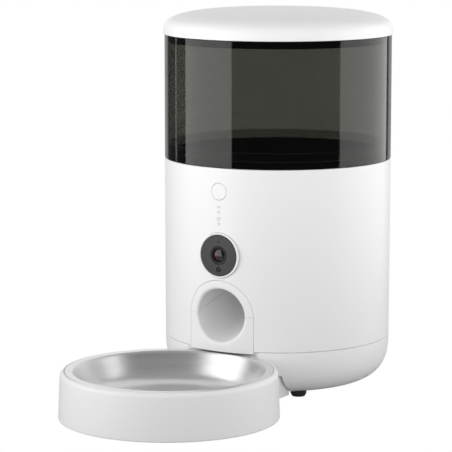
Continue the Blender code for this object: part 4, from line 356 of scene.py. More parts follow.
def rounded(corners, steps=5):
    """Swap each (radius, height, rounding) corner for an arc. Corners without a rounding stay as they are."""
    points = []
    for index, corner in enumerate(corners):
        here = Vector(corner[:2])
        size = corner[2] if len(corner) > 2 else 0
        if not size:
            points.append(tuple(here))
            continue
        back = Vector(corners[index - 1][:2]) - here
        ahead = Vector(corners[(index + 1) % len(corners)][:2]) - here
        reach = size / math.tan(back.angle(ahead) / 2)
        reach = min(reach, back.length * 0.49, ahead.length * 0.49)
        start = here + back.normalized() * reach
        end = here + ahead.normalized() * reach
        if back.length > 2 * (reach + SUPPORT):
            points.append(tuple(start + back.normalized() * SUPPORT))
        for step in range(steps + 1):
            share = step / steps
            points.append(tuple(start * (1 - share) ** 2 + here * 2 * share * (1 - share) + end * share ** 2))
        if ahead.length > 2 * (reach + SUPPORT):
            points.append(tuple(end + ahead.normalized() * SUPPORT))
    return points


def smooth_line(points, steps=8):
    """A smooth line through every point."""
    line = []
    for index in range(len(points) - 1):
        before, start, end, after = (
            Vector(points[max(0, min(len(points) - 1, index + shift))]) for shift in (-1, 0, 1, 2)
        )
        for step in range(steps):
            share = step / steps
            line.append(tuple(
                (start * 2 + (end - before) * share + (before * 2 - start * 5 + end * 4 - after) * share ** 2
                 + (start * 3 - before - end * 3 + after) * share ** 3) / 2
            ))
    return line + [tuple(points[-1])]


def dome_line(flat, outer, edge, top, power, steps=48):
    """The line of a soft dome from its middle out to its edge, as a superellipse."""
    line = []
    for step in range(steps + 1):
        turn = math.pi / 2 * (1 - step / steps)
        across = flat + (outer - flat) * max(math.cos(turn), 0) ** (2 / power)
        line.append((across, edge + (top - edge) * math.sin(turn) ** (2 / power)))
    return line


def set_off(line, distance):
    """The same line moved sideways."""
    moved = []
    for index, point in enumerate(line):
        before = Vector(line[max(index - 1, 0)])
        along = (Vector(line[min(index + 1, len(line) - 1)]) - before).normalized()
        moved.append((point[0] - along.y * distance, point[1] + along.x * distance))
    return moved


def wall_from(line, distance):
    """The same line moved sideways by a wall's thickness, without crossing the axis."""
    return [(max(across, 0), up) for across, up in set_off(line, distance)]


print("outline helpers ready")

# %% [markdown]
# Each piece ends as a mesh whose points are already in their place in the frame, on an object at the
# origin. A turned piece can face up, or forwards and backwards along the Y axis, as the camera and the
# speaker do. Its normals are recalculated once its doubles are merged, because a spin can leave a shape
# inside out.

# %% Turn outlines into pieces
UP = Matrix.Identity(4)
FORWARD = Matrix.Rotation(math.pi / 2, 4, "X")
BACKWARD = Matrix.Rotation(-math.pi / 2, 4, "X")


def smoothed(mesh):
    """Smooth shading, with edges over 30 degrees kept sharp."""
    mesh.shade_smooth()
    mesh.set_sharp_from_angle(angle=SMOOTH_ANGLE)
    return mesh


def mesh_of(shape, name, material=None):
    """Write a finished bmesh to a new mesh."""
    mesh = bpy.data.meshes.new(name)
    shape.to_mesh(mesh)
    shape.free()
    if material:
        mesh.materials.append(material)
    return mesh


def settle_mesh(mesh, turn=UP, place=(0, 0, 0)):
    """Merge doubles, point the faces outwards, put the mesh in its place and smooth it."""
    shape = bmesh.new()
    shape.from_mesh(mesh)
    bmesh.ops.remove_doubles(shape, verts=shape.verts, dist=MERGE_DISTANCE)
    bmesh.ops.recalc_face_normals(shape, faces=shape.faces)
    shape.transform(Matrix.Translation(place) @ turn)
    shape.to_mesh(mesh)
    shape.free()
    return smoothed(mesh)


def piece_from(name, mesh):
    mesh.name = name
    piece = bpy.data.objects.new(name, mesh)
    bpy.context.scene.collection.objects.link(piece)
    return piece


def turned(name, outline, axis, material=None, steps=FINE_TURN, turn=UP, closed=True, lift=0):
    """A turned piece from an outline in millimetres. An open outline starts and ends on the axis."""
    mesh = bpy.data.meshes.new(name)
    points = [(radius * MM - 1, -height * MM, 0) for radius, height in outline]
    edges = [(index, index + 1) for index in range(len(points) - 1)]
    if closed:
        edges.append((len(points) - 1, 0))
    mesh.from_pydata(points, edges, [])
    guide = piece_from(name + " outline", mesh)
    shape = run_tree(guide, turn_an_outline, {"Steps": steps, "Material": material})
    return piece_from(name, settle_mesh(shape, turn, axis + Vector((0, 0, lift * MM))))


def dress(piece, body, slot, *nodes):
    """Let a finished piece ride on its body and hide the solid that it stands for. The slot is not used."""
    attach(piece, body)
    if nodes:
        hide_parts(*nodes)
    print(piece.name, "rides on", body, "with", len(piece.data.polygons), "faces")
    return piece


# %% [markdown]
# Holes and slots are cut with Booleans. All cutters of a piece are first joined to one mesh, so that a
# piece is cut only once, and the exact solver keeps the result closed.


# %% Cut and join shapes
def joined(things):
    """Put several separate shapes into one object."""
    shape = bmesh.new()
    for thing in things:
        shape.from_mesh(thing.data)
        bpy.data.objects.remove(thing)
    return piece_from("tools", mesh_of(shape, "tools"))


def carve(piece, tools, operation="DIFFERENCE"):
    """Apply one Boolean with all the tools, and drop the tools."""
    tool = joined(tools) if len(tools) > 1 else tools[0]
    step = piece.modifiers.new("Carve", "BOOLEAN")
    step.operation = operation
    step.solver = "EXACT"
    step.object = tool
    mesh = evaluated_mesh(piece)
    piece.modifiers.clear()
    piece.data = mesh
    bpy.data.objects.remove(tool)
    shape = bmesh.new()
    shape.from_mesh(mesh)
    bmesh.ops.remove_doubles(shape, verts=shape.verts, dist=MERGE_DISTANCE)
    bmesh.ops.dissolve_degenerate(shape, edges=shape.edges, dist=MERGE_DISTANCE)
    shape.to_mesh(mesh)
    shape.free()
    smoothed(mesh)
    return piece


def block(name, low, high, material=None, rounding=0, turn=UP):
    """A box between two corners in millimetres, with its edges rounded if asked."""
    shape = bmesh.new()
    bmesh.ops.create_cube(shape, size=1)
    low = Vector(low) * MM
    high = Vector(high) * MM
    bmesh.ops.scale(shape, vec=high - low, verts=shape.verts)
    bmesh.ops.translate(shape, vec=(high + low) / 2, verts=shape.verts)
    if rounding:
        bmesh.ops.bevel(
            shape, geom=shape.edges, offset=rounding * MM, segments=4, profile=0.5, affect="EDGES"
        )
    shape.transform(turn)
    return piece_from(name, smoothed(mesh_of(shape, name, material)))


def rod(name, radius, low, high, axis, steps=SMALL_TURN, turn=UP, lift=0, material=None):
    outline = [(0, high), (radius, high), (radius, low), (0, low)]
    return turned(name, outline, axis, material, steps, turn, False, lift)


# %% [markdown]
# The lid is a low dome with a soft shoulder. Its outer line is a superellipse, which stays flat in the
# middle and turns down late. Below it a plug ring drops into the hopper and carries a rubber seal, seen
# as a dark band through the smoked wall.

# %% The lid and its seal
LID_RADIUS = 97.8
LID_EDGE = 300.1
LID_TOP = 321.2
LID_POWER = 3.31
LID_WALL = 2.6
PLUG_OUTER = 91.7
PLUG_INNER = 89.7
PLUG_BOTTOM = 293.3

outer_dome = dome_line(0, LID_RADIUS, LID_EDGE + 0.6, LID_TOP, LID_POWER, 64)
inner_dome = dome_line(0, LID_RADIUS - LID_WALL, LID_EDGE, LID_TOP - LID_WALL, LID_POWER, 64)
under_lid = [point for point in reversed(inner_dome) if point[0] < PLUG_INNER]
plug = rounded([
    (LID_RADIUS, LID_EDGE + 0.6), (LID_RADIUS, LID_EDGE, 0.5),
    (PLUG_OUTER, LID_EDGE), (PLUG_OUTER, PLUG_BOTTOM, 0.5),
    (PLUG_INNER, PLUG_BOTTOM, 0.5), (PLUG_INNER, under_lid[0][1]),
])
lid = turned("lid", outer_dome + plug[1:] + under_lid, feeder_axis, white_plastic, closed=False)
dress(lid, "lid", "white_plastic", "lid")
seal_outline = [
    (93.8, 299.8, 0.5), (93.8, 298.4, 0.3), (93.2, 297.9, 0.3), (93.8, 297.4, 0.3), (93.8, 296.0, 0.3),
    (93.2, 295.5, 0.3), (93.8, 295.0, 0.3), (93.8, 293.6, 0.5), (92.0, 293.6, 0.5), (92.0, 299.8, 0.5),
]
dress(turned("lid_seal", rounded(seal_outline), feeder_axis, seal_rubber), "lid", "black_plastic", "lid_seal")

# %% [markdown]
# The hopper is a plain round wall of smoked plastic. Its floor is a black funnel, whose low collar stands
# inside the wall. The collar's top edge shows through the wall as a thin line.

# %% The hopper wall, its collar and its funnel
tank_outline = rounded([(96.8, 299.8, 0.6), (96.8, 194.9, 0.5), (94.1, 194.9, 0.4), (94.1, 299.8, 0.6)])
tank = turned("hopper_tank", tank_outline, feeder_axis, smoked_plastic)
dress(tank, "hopper", "smoked_plastic", "hopper_tank")
collar_outline = rounded([(93.8, 208.0, 0.5), (93.8, 200.7, 0.2), (91.8, 200.7, 0.2), (91.8, 208.0, 0.5)])
collar = turned("hopper_collar", collar_outline, feeder_axis, light_smoke)
dress(collar, "hopper", "smoked_plastic", "hopper_funnel")
funnel_outline = rounded([
    (93.8, 200.5, 0.3), (93.8, 189.6, 0.5), (87.5, 189.6, 1.5), (52.0, 152.0, 2.0), (52.0, 118.0, 0.8),
    (6.5, 118.0, 0.4), (6.5, 120.4, 0.4), (50.0, 120.4, 0.8), (50.0, 152.0, 2.0), (91.8, 200.5, 0.8),
])
funnel = turned("hopper_funnel", funnel_outline, feeder_axis, funnel_black)
outlet_place = feeder_axis + Vector((0, -33 * MM, 0))
carve(funnel, [rod("outlet tool", 16, 116, 122, outlet_place)])
dress(funnel, "hopper", "black_plastic", "hopper_funnel")

# %% [markdown]
# The housing is one tall round casing with a slight draft, wider at the top. Its wall is drawn in many
# short rows, so that the faces round a cut stay small and the shading stays even. A ledge near the top
# carries the hopper's seat.

# %% The housing before its holes
HOUSING_TOP = 194.6
HOUSING_BOTTOM = 42.25
HOUSING_WALL = 2.7
WALL_ROW = 5.0


def wall_radius(height):
    """The housing's outer radius at a height."""
    return 96.4 + 0.4 * (height - 42.1) / 152.5


def rows_between(low, high, step):
    count = max(1, round(abs(high - low) / step))
    return [low + (high - low) * index / count for index in range(1, count)]


wall_rows = rows_between(HOUSING_TOP, HOUSING_BOTTOM, WALL_ROW)
outside = [(wall_radius(height), height) for height in wall_rows]
inside = [(wall_radius(height) - HOUSING_WALL, height) for height in reversed(wall_rows) if height < 180]
housing_outline = (
    rounded([(93.8, 194.6), (96.8, 194.6, 0.5), (96.78, 190.0)])[:-1]
    + outside
    + rounded([(96.4, 50), (96.4, 42.25, 0.45), (93.7, 42.25, 0.3), (93.7, 50)])[1:-1]
    + inside
    + [(94.1, 184.2), (91.2, 184.2), (91.2, 187.0), (94.1, 187.0), (94.1, 194.2)]
)
housing = turned("main_housing", housing_outline, feeder_axis, white_plastic)
print("housing wall has", len(housing.data.polygons), "faces")

# %% [markdown]
# The openings follow the solid model: a doorway for the chute, a round hole for the camera, the button
# and its two lights, a slot for the power inlet, the reset hole and the speaker's grille. The grille is a
# pattern of nine round holes, so Geometry Nodes places it: it puts one rod in the middle and the others
# on a circle.


# %% A geometry tree for rings of holes
def ring_of_holes_tree():
    tree, given = start_tree("Ring of holes", {
        "Geometry": "Geometry", "Holes": "Int", "Ring radius": "Float", "Hole radius": "Float",
        "Depth": "Float", "Middle hole": "Bool", "Material": "Material",
    })
    circle = add_node(tree, "GeometryNodeMeshCircle", {
        "Vertices": given["Holes"], "Radius": given["Ring radius"],
    })
    hole = add_node(tree, "GeometryNodeMeshCylinder", {
        "Vertices": 24, "Radius": given["Hole radius"], "Depth": given["Depth"],
    })
    around = add_node(tree, "GeometryNodeInstanceOnPoints", {
        "Points": circle.outputs["Mesh"], "Instance": hole.outputs["Mesh"],
    })
    middle = add_node(tree, "GeometryNodeSwitch", {
        "Switch": given["Middle hole"], "True": hole.outputs["Mesh"],
    }, input_type="GEOMETRY")
    both = add_node(tree, "GeometryNodeJoinGeometry")
    tree.links.new(around.outputs["Instances"], both.inputs["Geometry"])
    tree.links.new(middle.outputs["Output"], both.inputs["Geometry"])
    return end_tree(tree, both.outputs["Geometry"], given["Material"])


ring_of_holes = ring_of_holes_tree()


def hole_tools(name, holes, ring_radius, hole_radius, depth, place, turn=UP, middle=False, material=None):
    """Rods for a ring of holes, centred on a place in metres."""
    guide = piece_from(name + " guide", bpy.data.meshes.new(name))
    mesh = run_tree(guide, ring_of_holes, {
        "Holes": holes, "Ring radius": ring_radius * MM, "Hole radius": hole_radius * MM, "Depth": depth * MM,
        "Middle hole": middle, "Material": material,
    })
    return piece_from(name, settle_mesh(mesh, turn, place))


print("hole tree ready")

# %% Cut the housing's openings
GAP = 0.3
ARCH_HALF = 30.3
SPLIT_HEIGHT = 70.3
CAMERA_HEIGHT = 121.8
BUTTON_HEIGHT = 175.2
LIGHT_HEIGHTS = (158.3, 148.2)
SPEAKER_HEIGHT = 140.0
INLET_HEIGHT = 55.0
RESET_PLACE = (-16.0, 66.0)


def arch(name, half_width, bottom, near, far):
    """A doorway shape with a half-round top, as a solid through the front wall."""
    outline = [(-half_width, bottom), (half_width, bottom)]
    for step in range(SMALL_TURN + 1):
        angle = math.pi * step / SMALL_TURN
        outline.append((half_width * math.cos(angle), SPLIT_HEIGHT + half_width * math.sin(angle)))
    shape = bmesh.new()
    front = [shape.verts.new((x * MM, feeder_axis.y - far * MM, z * MM)) for x, z in outline]
    back = [shape.verts.new((x * MM, feeder_axis.y - near * MM, z * MM)) for x, z in outline]
    shape.faces.new(front)
    shape.faces.new(list(reversed(back)))
    for index in range(len(outline)):
        after = (index + 1) % len(outline)
        shape.faces.new((front[after], front[index], back[index], back[after]))
    bmesh.ops.recalc_face_normals(shape, faces=shape.faces)
    return piece_from(name, mesh_of(shape, name))


def at_height(height, across=0):
    return feeder_axis + Vector((across * MM, 0, height * MM))


offset = Matrix.Translation(feeder_axis)
grille_place = at_height(SPEAKER_HEIGHT) + Vector((0, 96 * MM, 0))
tools = [
    arch("arch tool", ARCH_HALF + GAP, 38, 80, 104),
    rod("camera tool", 19.0 + GAP, 88, 104, at_height(CAMERA_HEIGHT), turn=FORWARD),
    rod("button tool", 7.0 + GAP, 88, 104, at_height(BUTTON_HEIGHT), turn=FORWARD),
    rod("reset tool", 2.0 + GAP, 86, 104, at_height(RESET_PLACE[1], RESET_PLACE[0]), turn=BACKWARD),
    block("inlet tool", (-6.3, 82, INLET_HEIGHT - 4.05), (6.3, 104, INLET_HEIGHT + 4.05), None, 0.8, offset),
    hole_tools("grille", 8, 6.0, 1.0, 12, grille_place, BACKWARD, True),
]
for height in LIGHT_HEIGHTS:
    tools.append(rod("light tool", 0.8 + GAP, 88, 104, at_height(height), 24, FORWARD))
carve(housing, tools)
dress(housing, "feeder", "white_plastic", "main_housing")

# %% [markdown]
# The base is the rounded bottom of the casing, closed to the housing by a thin seam. Its side is again a
# superellipse. The round recess takes the bowl holder and the flat slot takes the holder's arm. The
# hollow inside keeps walls round the recess, the slot and the feet, so that no cut looks into it.

# %% The base shell
BASE_TOP = 41.95
BASE_FLOOR = 3.2
BASE_FLAT = 57.9
BASE_POWER = 2.66
RECESS_RADIUS = 90.4
LINING = 2.4
SLOT_HALF = 50.5
SLOT_TOP = 22.0
SLOT_BACK = -61.5
FOOT_RADIUS = 6.8
FOOT_CIRCLE = 70.5
FOOT_ANGLES = [math.radians(angle) for angle in (-45, 45, 135, 225)]
SCREW_CIRCLE = 85.5
SCREW_ANGLES = [math.radians(angle) for angle in (0, 60, 120, 180)]


def base_side(inset):
    """The base's side as a line from the seam down to the flat, drawn in by a wall."""
    edge = 42.1 - inset
    line = dome_line(BASE_FLAT, 96.4 - inset, edge, BASE_FLOOR + inset, BASE_POWER, 56)
    return list(reversed(line))


def on_circle(radius, angle):
    return feeder_axis + Vector((radius * math.cos(angle), radius * math.sin(angle), 0)) * MM


side = [point for point in base_side(0) if point[1] < BASE_TOP - 0.5]
base_outline = [(0, 47.65), (93.4, 47.65), (93.4, BASE_TOP)] + rounded(
    [(93.4, BASE_TOP), (96.4, BASE_TOP, 0.45), (96.4, 40)]
)[1:-1] + side + [(0, BASE_FLOOR)]
base_shell = turned("base_shell", base_outline, feeder_axis, white_plastic, closed=False)
hollow_side = [point for point in base_side(3.0) if point[1] < 35.9]
hollow_outline = [(0, 52), (91.4, 52), (91.4, 38.95)] + hollow_side + [(0, 6.2)]
hollow = turned("hollow tool", hollow_outline, feeder_axis, closed=False)
foot_places = [on_circle(FOOT_CIRCLE, angle) for angle in FOOT_ANGLES]
screw_places = [on_circle(SCREW_CIRCLE, angle) for angle in SCREW_ANGLES]
linings = [
    rod("recess lining", RECESS_RADIUS + LINING, -5, BASE_TOP, bowl_axis, FINE_TURN),
    *[rod("foot boss", FOOT_RADIUS + GAP + LINING, -5, 8.6, place, 48) for place in foot_places],
    *[rod("screw boss", 3.0 + GAP + 2.2, -5, BASE_TOP, place, 32) for place in screw_places],
]
slot_lining = block(
    "slot lining", (-SLOT_HALF - LINING, -300, -5),
    (SLOT_HALF + LINING, SLOT_BACK + LINING, SLOT_TOP + LINING), turn=offset,
)
for tool in (*linings, slot_lining):
    carve(hollow, [tool])
carve(base_shell, [hollow])
carve(base_shell, [rod("recess tool", RECESS_RADIUS, -5, 52, bowl_axis, FINE_TURN)])
carve(base_shell, [block("slot tool", (-SLOT_HALF, -300, -5), (SLOT_HALF, SLOT_BACK, SLOT_TOP), turn=offset)])
tools = [
    block("battery opening", (-34.3, -52.3, -5), (34.3, 52.3, 22), turn=offset),
    *[rod("foot pocket", FOOT_RADIUS + GAP, -5, 5.9, place, 48) for place in foot_places],
]
for place in screw_places:
    outline = [(0, 52), (1.7, 52), (1.7, 20.3), (3.3, 20.3), (3.3, -5), (0, -5)]
    tools.append(turned("screw tool", outline, place, None, 32, closed=False))
carve(base_shell, tools)
dress(base_shell, "feeder", "white_plastic", "base_shell")

# %% [markdown]
# The chute is a smooth round tunnel that rises from its mouth in the front to the hopper's outlet. It is
# moulded in two halves that meet on a line across the arch. To get the soft lip of the mouth, the tunnel
# is lofted: its first rings lie on the curved wall and shrink as they go in, and the later rings stand
# square to the path.

# %% The chute's path and its tunnel
MOUTH_HEIGHT = 71.0
MOUTH_RADIUS = 22.4
THROAT_RADIUS = 16.6
SLOPE = math.radians(16)
MOUTH_LIP = ((-1.5, 27.4), (-0.6, 25.5), (0, 24.3), (0.35, 23.5), (0.8, 22.95), (1.4, 22.6), (2.2, 22.4))
RING_POINTS = 72


def chute_path():
    """The centre line as (y, z, radius) from inside the mouth to above the seat, in millimetres."""
    mouth = Vector((-wall_radius(MOUTH_HEIGHT), MOUTH_HEIGHT))
    along = Vector((math.cos(SLOPE), math.sin(SLOPE)))
    ramp_end = mouth + along * 25
    top = Vector((-33.0, 114.9))
    pull = (top - ramp_end).length * 0.55
    points = [(*(mouth + along * reach), MOUTH_RADIUS) for reach in (12, 16, 20)]
    for step in range(25):
        share = step / 24
        rest = 1 - share
        point = (
            ramp_end * rest ** 3 + (ramp_end + along * pull) * 3 * share * rest ** 2
            + (top - Vector((0, pull))) * 3 * share ** 2 * rest + top * share ** 3
        )
        points.append((*point, MOUTH_RADIUS + (THROAT_RADIUS - MOUTH_RADIUS) * share))
    points.append((-33.0, 121.7, THROAT_RADIUS))
    return points


def loft(name, rings, material=None):
    """Skin a list of rings of points, in millimetres from the feeder's axis, and cap both ends."""
    shape = bmesh.new()
    made = []
    for ring in rings:
        made.append([shape.verts.new(Vector(point) * MM + feeder_axis) for point in ring])
    for near, far in zip(made, made[1:]):
        for index in range(len(near)):
            after = (index + 1) % len(near)
            shape.faces.new((near[index], near[after], far[after], far[index]))
    shape.faces.new(list(reversed(made[0])))
    shape.faces.new(made[-1])
    bmesh.ops.recalc_face_normals(shape, faces=shape.faces)
    return piece_from(name, mesh_of(shape, name, material))


def path_rings(points, extra):
    """Rings square to a path of (y, z, radius) points."""
    rings = []
    for index, (y, z, radius) in enumerate(points):
        before = Vector(points[max(index - 1, 0)][:2])
        after = Vector(points[min(index + 1, len(points) - 1)][:2])
        along = (after - before).normalized()
        ring = []
        for step in range(RING_POINTS):
            angle = 2 * math.pi * step / RING_POINTS
            side = (radius + extra) * math.cos(angle)
            up = (radius + extra) * math.sin(angle)
            ring.append((side, y - along.y * up, z + along.x * up))
        rings.append(ring)
    return rings


def mouth_rings():
    """Rings that follow the curved wall at small depths under its surface."""
    rings = []
    for depth, radius in MOUTH_LIP:
        ring = []
        for step in range(RING_POINTS):
            angle = 2 * math.pi * step / RING_POINTS
            x = radius * math.cos(angle)
            z = MOUTH_HEIGHT + radius * math.sin(angle)
            ring.append((x, -math.sqrt((wall_radius(z) - depth) ** 2 - x ** 2), z))
        rings.append(ring)
    return rings


def tunnel(name):
    front = [[(x, y - 8, z) for x, y, z in mouth_rings()[0]]]
    return loft(name, front + mouth_rings() + path_rings(chute_path(), 0))


print("chute path has", len(chute_path()), "rings")

# %% [markdown]
# Each half is made in the same way: the part of the front panel inside the arch, joined with the outer
# skin of the tube, then kept only on its own side of the split, and last the tunnel is cut out. The split
# leaves a hairline of 0.3 mm.


# %% The chute's two halves
ARCH_PANEL_TOP = 104.3
ARCH_PANEL_BOTTOM = 40.7


def half_region(name, upper):
    """Everything above or below the split, as a solid that follows the tube's centre line."""
    drop = MOUTH_HEIGHT - SPLIT_HEIGHT
    line = [(-300.0, SPLIT_HEIGHT), (-wall_radius(MOUTH_HEIGHT), SPLIT_HEIGHT)]
    line += [(y, z - drop) for y, z, _ in chute_path()[:-1]]
    line[-1] = (-33.0, 114.9)
    shift = GAP / 2 if upper else -GAP / 2
    line = set_off(line, shift)
    line[-1] = (line[-1][0], 114.9)
    corners = [(-300.0, 114.9)] if upper else [(0.0, 114.9), (0.0, -10.0), (-300.0, -10.0)]
    outline = line + corners
    rings = [[(side, y, z) for y, z in outline] for side in (-80.0, 80.0)]
    return loft(name, rings)


def front_panel(name):
    """A piece of the housing's wall inside the arch."""
    rows = [ARCH_PANEL_TOP, *rows_between(ARCH_PANEL_TOP, ARCH_PANEL_BOTTOM, 4.0), ARCH_PANEL_BOTTOM]
    outline = [(wall_radius(height), height) for height in rows]
    outline += [(wall_radius(height) - HOUSING_WALL, height) for height in reversed(rows)]
    panel = turned(name, outline, feeder_axis, white_plastic)
    return carve(panel, [arch(name + " arch", ARCH_HALF, 36, 80, 104)], "INTERSECT")


def inner_reach(name):
    outline = [(0, 194.6), (95.4, 194.6), (95.0, 0), (0, 0)]
    return turned(name, outline, feeder_axis, closed=False)


def chute_half(name, upper):
    path = chute_path()
    mouth = (-wall_radius(MOUTH_HEIGHT) - 4, MOUTH_HEIGHT - 1, MOUTH_RADIUS)
    tube = loft(name, path_rings([mouth] + path, 2.0), white_plastic)
    carve(tube, [inner_reach("reach")], "INTERSECT")
    tube = carve(tube, [front_panel(name + " panel")], "UNION")
    if not upper:
        shelf = rod("shelf", RECESS_RADIUS - GAP, 41.0, 43.0, bowl_axis, FINE_TURN, material=white_plastic)
        carve(shelf, [inner_reach("shelf reach")], "INTERSECT")
        sides = block("shelf sides", (-30, -300, 0), (30, 0, 84), turn=offset)
        carve(shelf, [sides], "INTERSECT")
        carve(tube, [shelf], "UNION")
    carve(tube, [half_region(name + " region", upper)], "INTERSECT")
    carve(tube, [tunnel(name + " tunnel")])
    return tube


chute_upper = chute_half("chute_upper", True)
chute_lower = chute_half("chute_lower", False)
dress(chute_upper, "feeder", "white_plastic", "chute_upper")
dress(chute_lower, "feeder", "white_plastic", "chute_lower")

# %% [markdown]
# The camera sits in a shallow white ring. Behind a dark round window, a stepped black ring holds the
# lens. A pinhole above it lets sound in to the microphone, and a small light sensor shows below it. All of
# these are turned shapes that face forwards.

# %% The camera
camera_place = at_height(CAMERA_HEIGHT)
BEZEL_FACE = 97.41
WINDOW_FACE = 97.21
bezel_outline = rounded([
    (19.0, BEZEL_FACE, 0.7), (19.0, 86.0, 0.3), (17.5, 86.0, 0.3), (17.5, BEZEL_FACE, 0.4),
])
bezel = turned("camera_bezel", bezel_outline, camera_place, white_plastic, 128, FORWARD)
dress(bezel, "feeder", "white_plastic", "camera_bezel")
window_outline = rounded([
    (17.2, WINDOW_FACE, 0.3), (17.2, 95.41, 0.2), (7.75, 95.41, 0.1), (7.75, WINDOW_FACE, 0.1),
])
window = turned("camera_window", window_outline, camera_place, dark_window, 128, FORWARD)
carve(window, [
    rod("sensor tool", 2.3, 90, 100, camera_place, 32, FORWARD, -11.8),
    rod("microphone tool", 0.6, 90, 100, camera_place, 24, FORWARD, 11.5),
])
dress(window, "feeder", "dark_window", "camera_window")
ring_outline = rounded([
    (7.45, BEZEL_FACE, 0.25), (7.45, 91.81, 0.2), (5.6, 91.81, 0.2), (5.6, 96.7, 0.1), (6.15, 96.9, 0.1),
    (6.15, 97.15, 0.1), (6.75, 97.15, 0.1), (6.75, BEZEL_FACE, 0.15),
])
lens_ring = turned("lens_ring", ring_outline, camera_place, black_plastic, 96, FORWARD)
dress(lens_ring, "feeder", "black_plastic", "lens_ring")
# The lens glass takes a painted coating reflection in its base colour.
lens_glass = lens_with_painted_sheen("lens glass with painted sheen", (0, feeder_axis.y - 96.8 * MM, CAMERA_HEIGHT * MM), 5.3 * MM)
lens_outline = dome_line(0, 5.3, 95.61, 96.81, 2, 24) + [(5.3, 91.81), (0, 91.81)]
lens = turned("camera_lens", lens_outline, camera_place, lens_glass, 96, FORWARD, False)
dress(lens, "feeder", "lens_glass", "camera_lens")
sensor_dome = dome_line(0, 1.6, 96.9, 97.2, 2.5, 12)
sensor_outline = sensor_dome + rounded([(1.6, 96.9), (2.0, 96.9, 0.1), (2.0, 90.0)]) + [(0, 90.0)]
sensor = turned("light_sensor", sensor_outline, camera_place, black_plastic, 48, FORWARD, False, -11.8)
dress(sensor, "feeder", "black_plastic", "light_sensor")

# %% [markdown]
# The feed button lies flush in its hole, with a soft edge, so only a thin round gap shows. It has a
# flange behind the wall and a stem that reaches for the switch.

# %% The feed button
button_outline = rounded([
    (0, 96.75), (7.0, 96.75, 0.45), (7.0, 93.35), (8.5, 93.35, 0.3), (8.5, 92.15, 0.3),
    (2.0, 92.15), (2.0, 90.15, 0.3), (0, 90.15),
])
button = turned("feed_button", button_outline, at_height(BUTTON_HEIGHT), white_plastic, 96, FORWARD, False)
dress(button, "button", "white_plastic", "feed_button")

# %% [markdown]
# Two small grey marks are printed above the tiny lights. They are drawn as flat strips that are wrapped
# on the round wall, a hair above its surface: a pair of arcs over a dot, and a small bowl outline. Both
# are plain generic signs.


# %% Printed marks on the wall
def wrapped_strips(name, strips, height, material):
    """Flat strips of (x, z) points with a width, in millimetres, bent round the housing's wall."""
    shape = bmesh.new()
    for points, width in strips:
        sides = []
        for offset_by in (-width / 2, width / 2):
            line = set_off(points, offset_by)
            row = []
            for lift in (0.02, 0.05):
                radius = wall_radius(height) + lift
                row.append([
                    shape.verts.new(feeder_axis + Vector((
                        radius * math.sin(x / radius), -radius * math.cos(x / radius), height + z,
                    )) * MM)
                    for x, z in line
                ])
            sides.append(row)
        (left_low, left_high), (right_low, right_high) = sides
        rows = [left_high, right_high, right_low, left_low]
        for index in range(len(points) - 1):
            after = index + 1
            for first, second in zip(rows, rows[1:] + rows[:1]):
                shape.faces.new((first[index], first[after], second[after], second[index]))
        for end in (0, -1):
            shape.faces.new([row[end] for row in rows])
    bmesh.ops.recalc_face_normals(shape, faces=shape.faces)
    return piece_from(name, mesh_of(shape, name, material))


def arc_points(radius, start, end, centre=(0, 0), steps=12):
    line = []
    for step in range(steps + 1):
        angle = math.radians(start + (end - start) * step / steps)
        line.append((centre[0] + radius * math.cos(angle), centre[1] + radius * math.sin(angle)))
    return line


upper_mark = [
    (arc_points(2.9, 48, 132, (0, -1.5)), 0.45),
    (arc_points(1.7, 48, 132, (0, -1.5)), 0.45),
    ([(-0.3, -1.2), (0.3, -1.2)], 0.6),
]
lower_mark = [
    ([(-1.9, 0.9), (1.9, 0.9)], 0.45),
    ([(-1.6, 0.6), (-1.1, -1.1), (1.1, -1.1), (1.6, 0.6)], 0.45),
    ([(-0.6, 1.6), (0.6, 1.6)], 0.45),
]
dress(wrapped_strips("upper_mark", upper_mark, 161.9, mark_ink), "feeder", "white_plastic")
dress(wrapped_strips("lower_mark", lower_mark, 152.1, mark_ink), "feeder", "white_plastic")

# %% [markdown]
# The bowl is pressed from one sheet of steel: a flat flange, a steep wall, and a floor that meets it in a
# wide curve. Its section is one smooth line through a few points, given a thickness of one millimetre.

# %% The steel bowl
BOWL_SHARES = ((0.985, 0.93), (0.945, 0.66), (0.870, 0.24), (0.775, 0.06), (0.68, 0.01))
FLANGE_HEIGHT = 39.2
BOWL_FLOOR = 13.0
MOUTH = 78.2
bowl_points = [(MOUTH * across, BOWL_FLOOR + (FLANGE_HEIGHT - BOWL_FLOOR) * up) for across, up in BOWL_SHARES]
wall_line = smooth_line(list(reversed(bowl_points)), 10)
inner_bowl = [(0, BOWL_FLOOR), (30, BOWL_FLOOR)] + wall_line
rim = rounded([(wall_line[-1][0], wall_line[-1][1]), (MOUTH, FLANGE_HEIGHT, 1.1), (84.3, FLANGE_HEIGHT, 0.45),
               (84.3, 38.2, 0.4), (MOUTH + 0.9, 38.2, 1.2)])
outer_bowl = [point for point in reversed(wall_from(inner_bowl, -1.0)) if point[1] < 37.6]
outer_bowl[-1] = (0, BOWL_FLOOR - 1)
bowl = turned("steel_bowl", inner_bowl + rim[1:] + outer_bowl, bowl_axis, brushed_steel, 256, closed=False)
dress(bowl, "bowl", "brushed_steel", "steel_bowl")

# %% [markdown]
# The holder is a white ring of plastic round the bowl. Its side leans out a little towards the foot and
# rolls over softly at the rim, and a ledge inside the rim carries the bowl's flange. A dish is welded
# under the ledge and follows the bowl at a small distance. A flat arm, hollow underneath, plugs into the
# slot of the base.

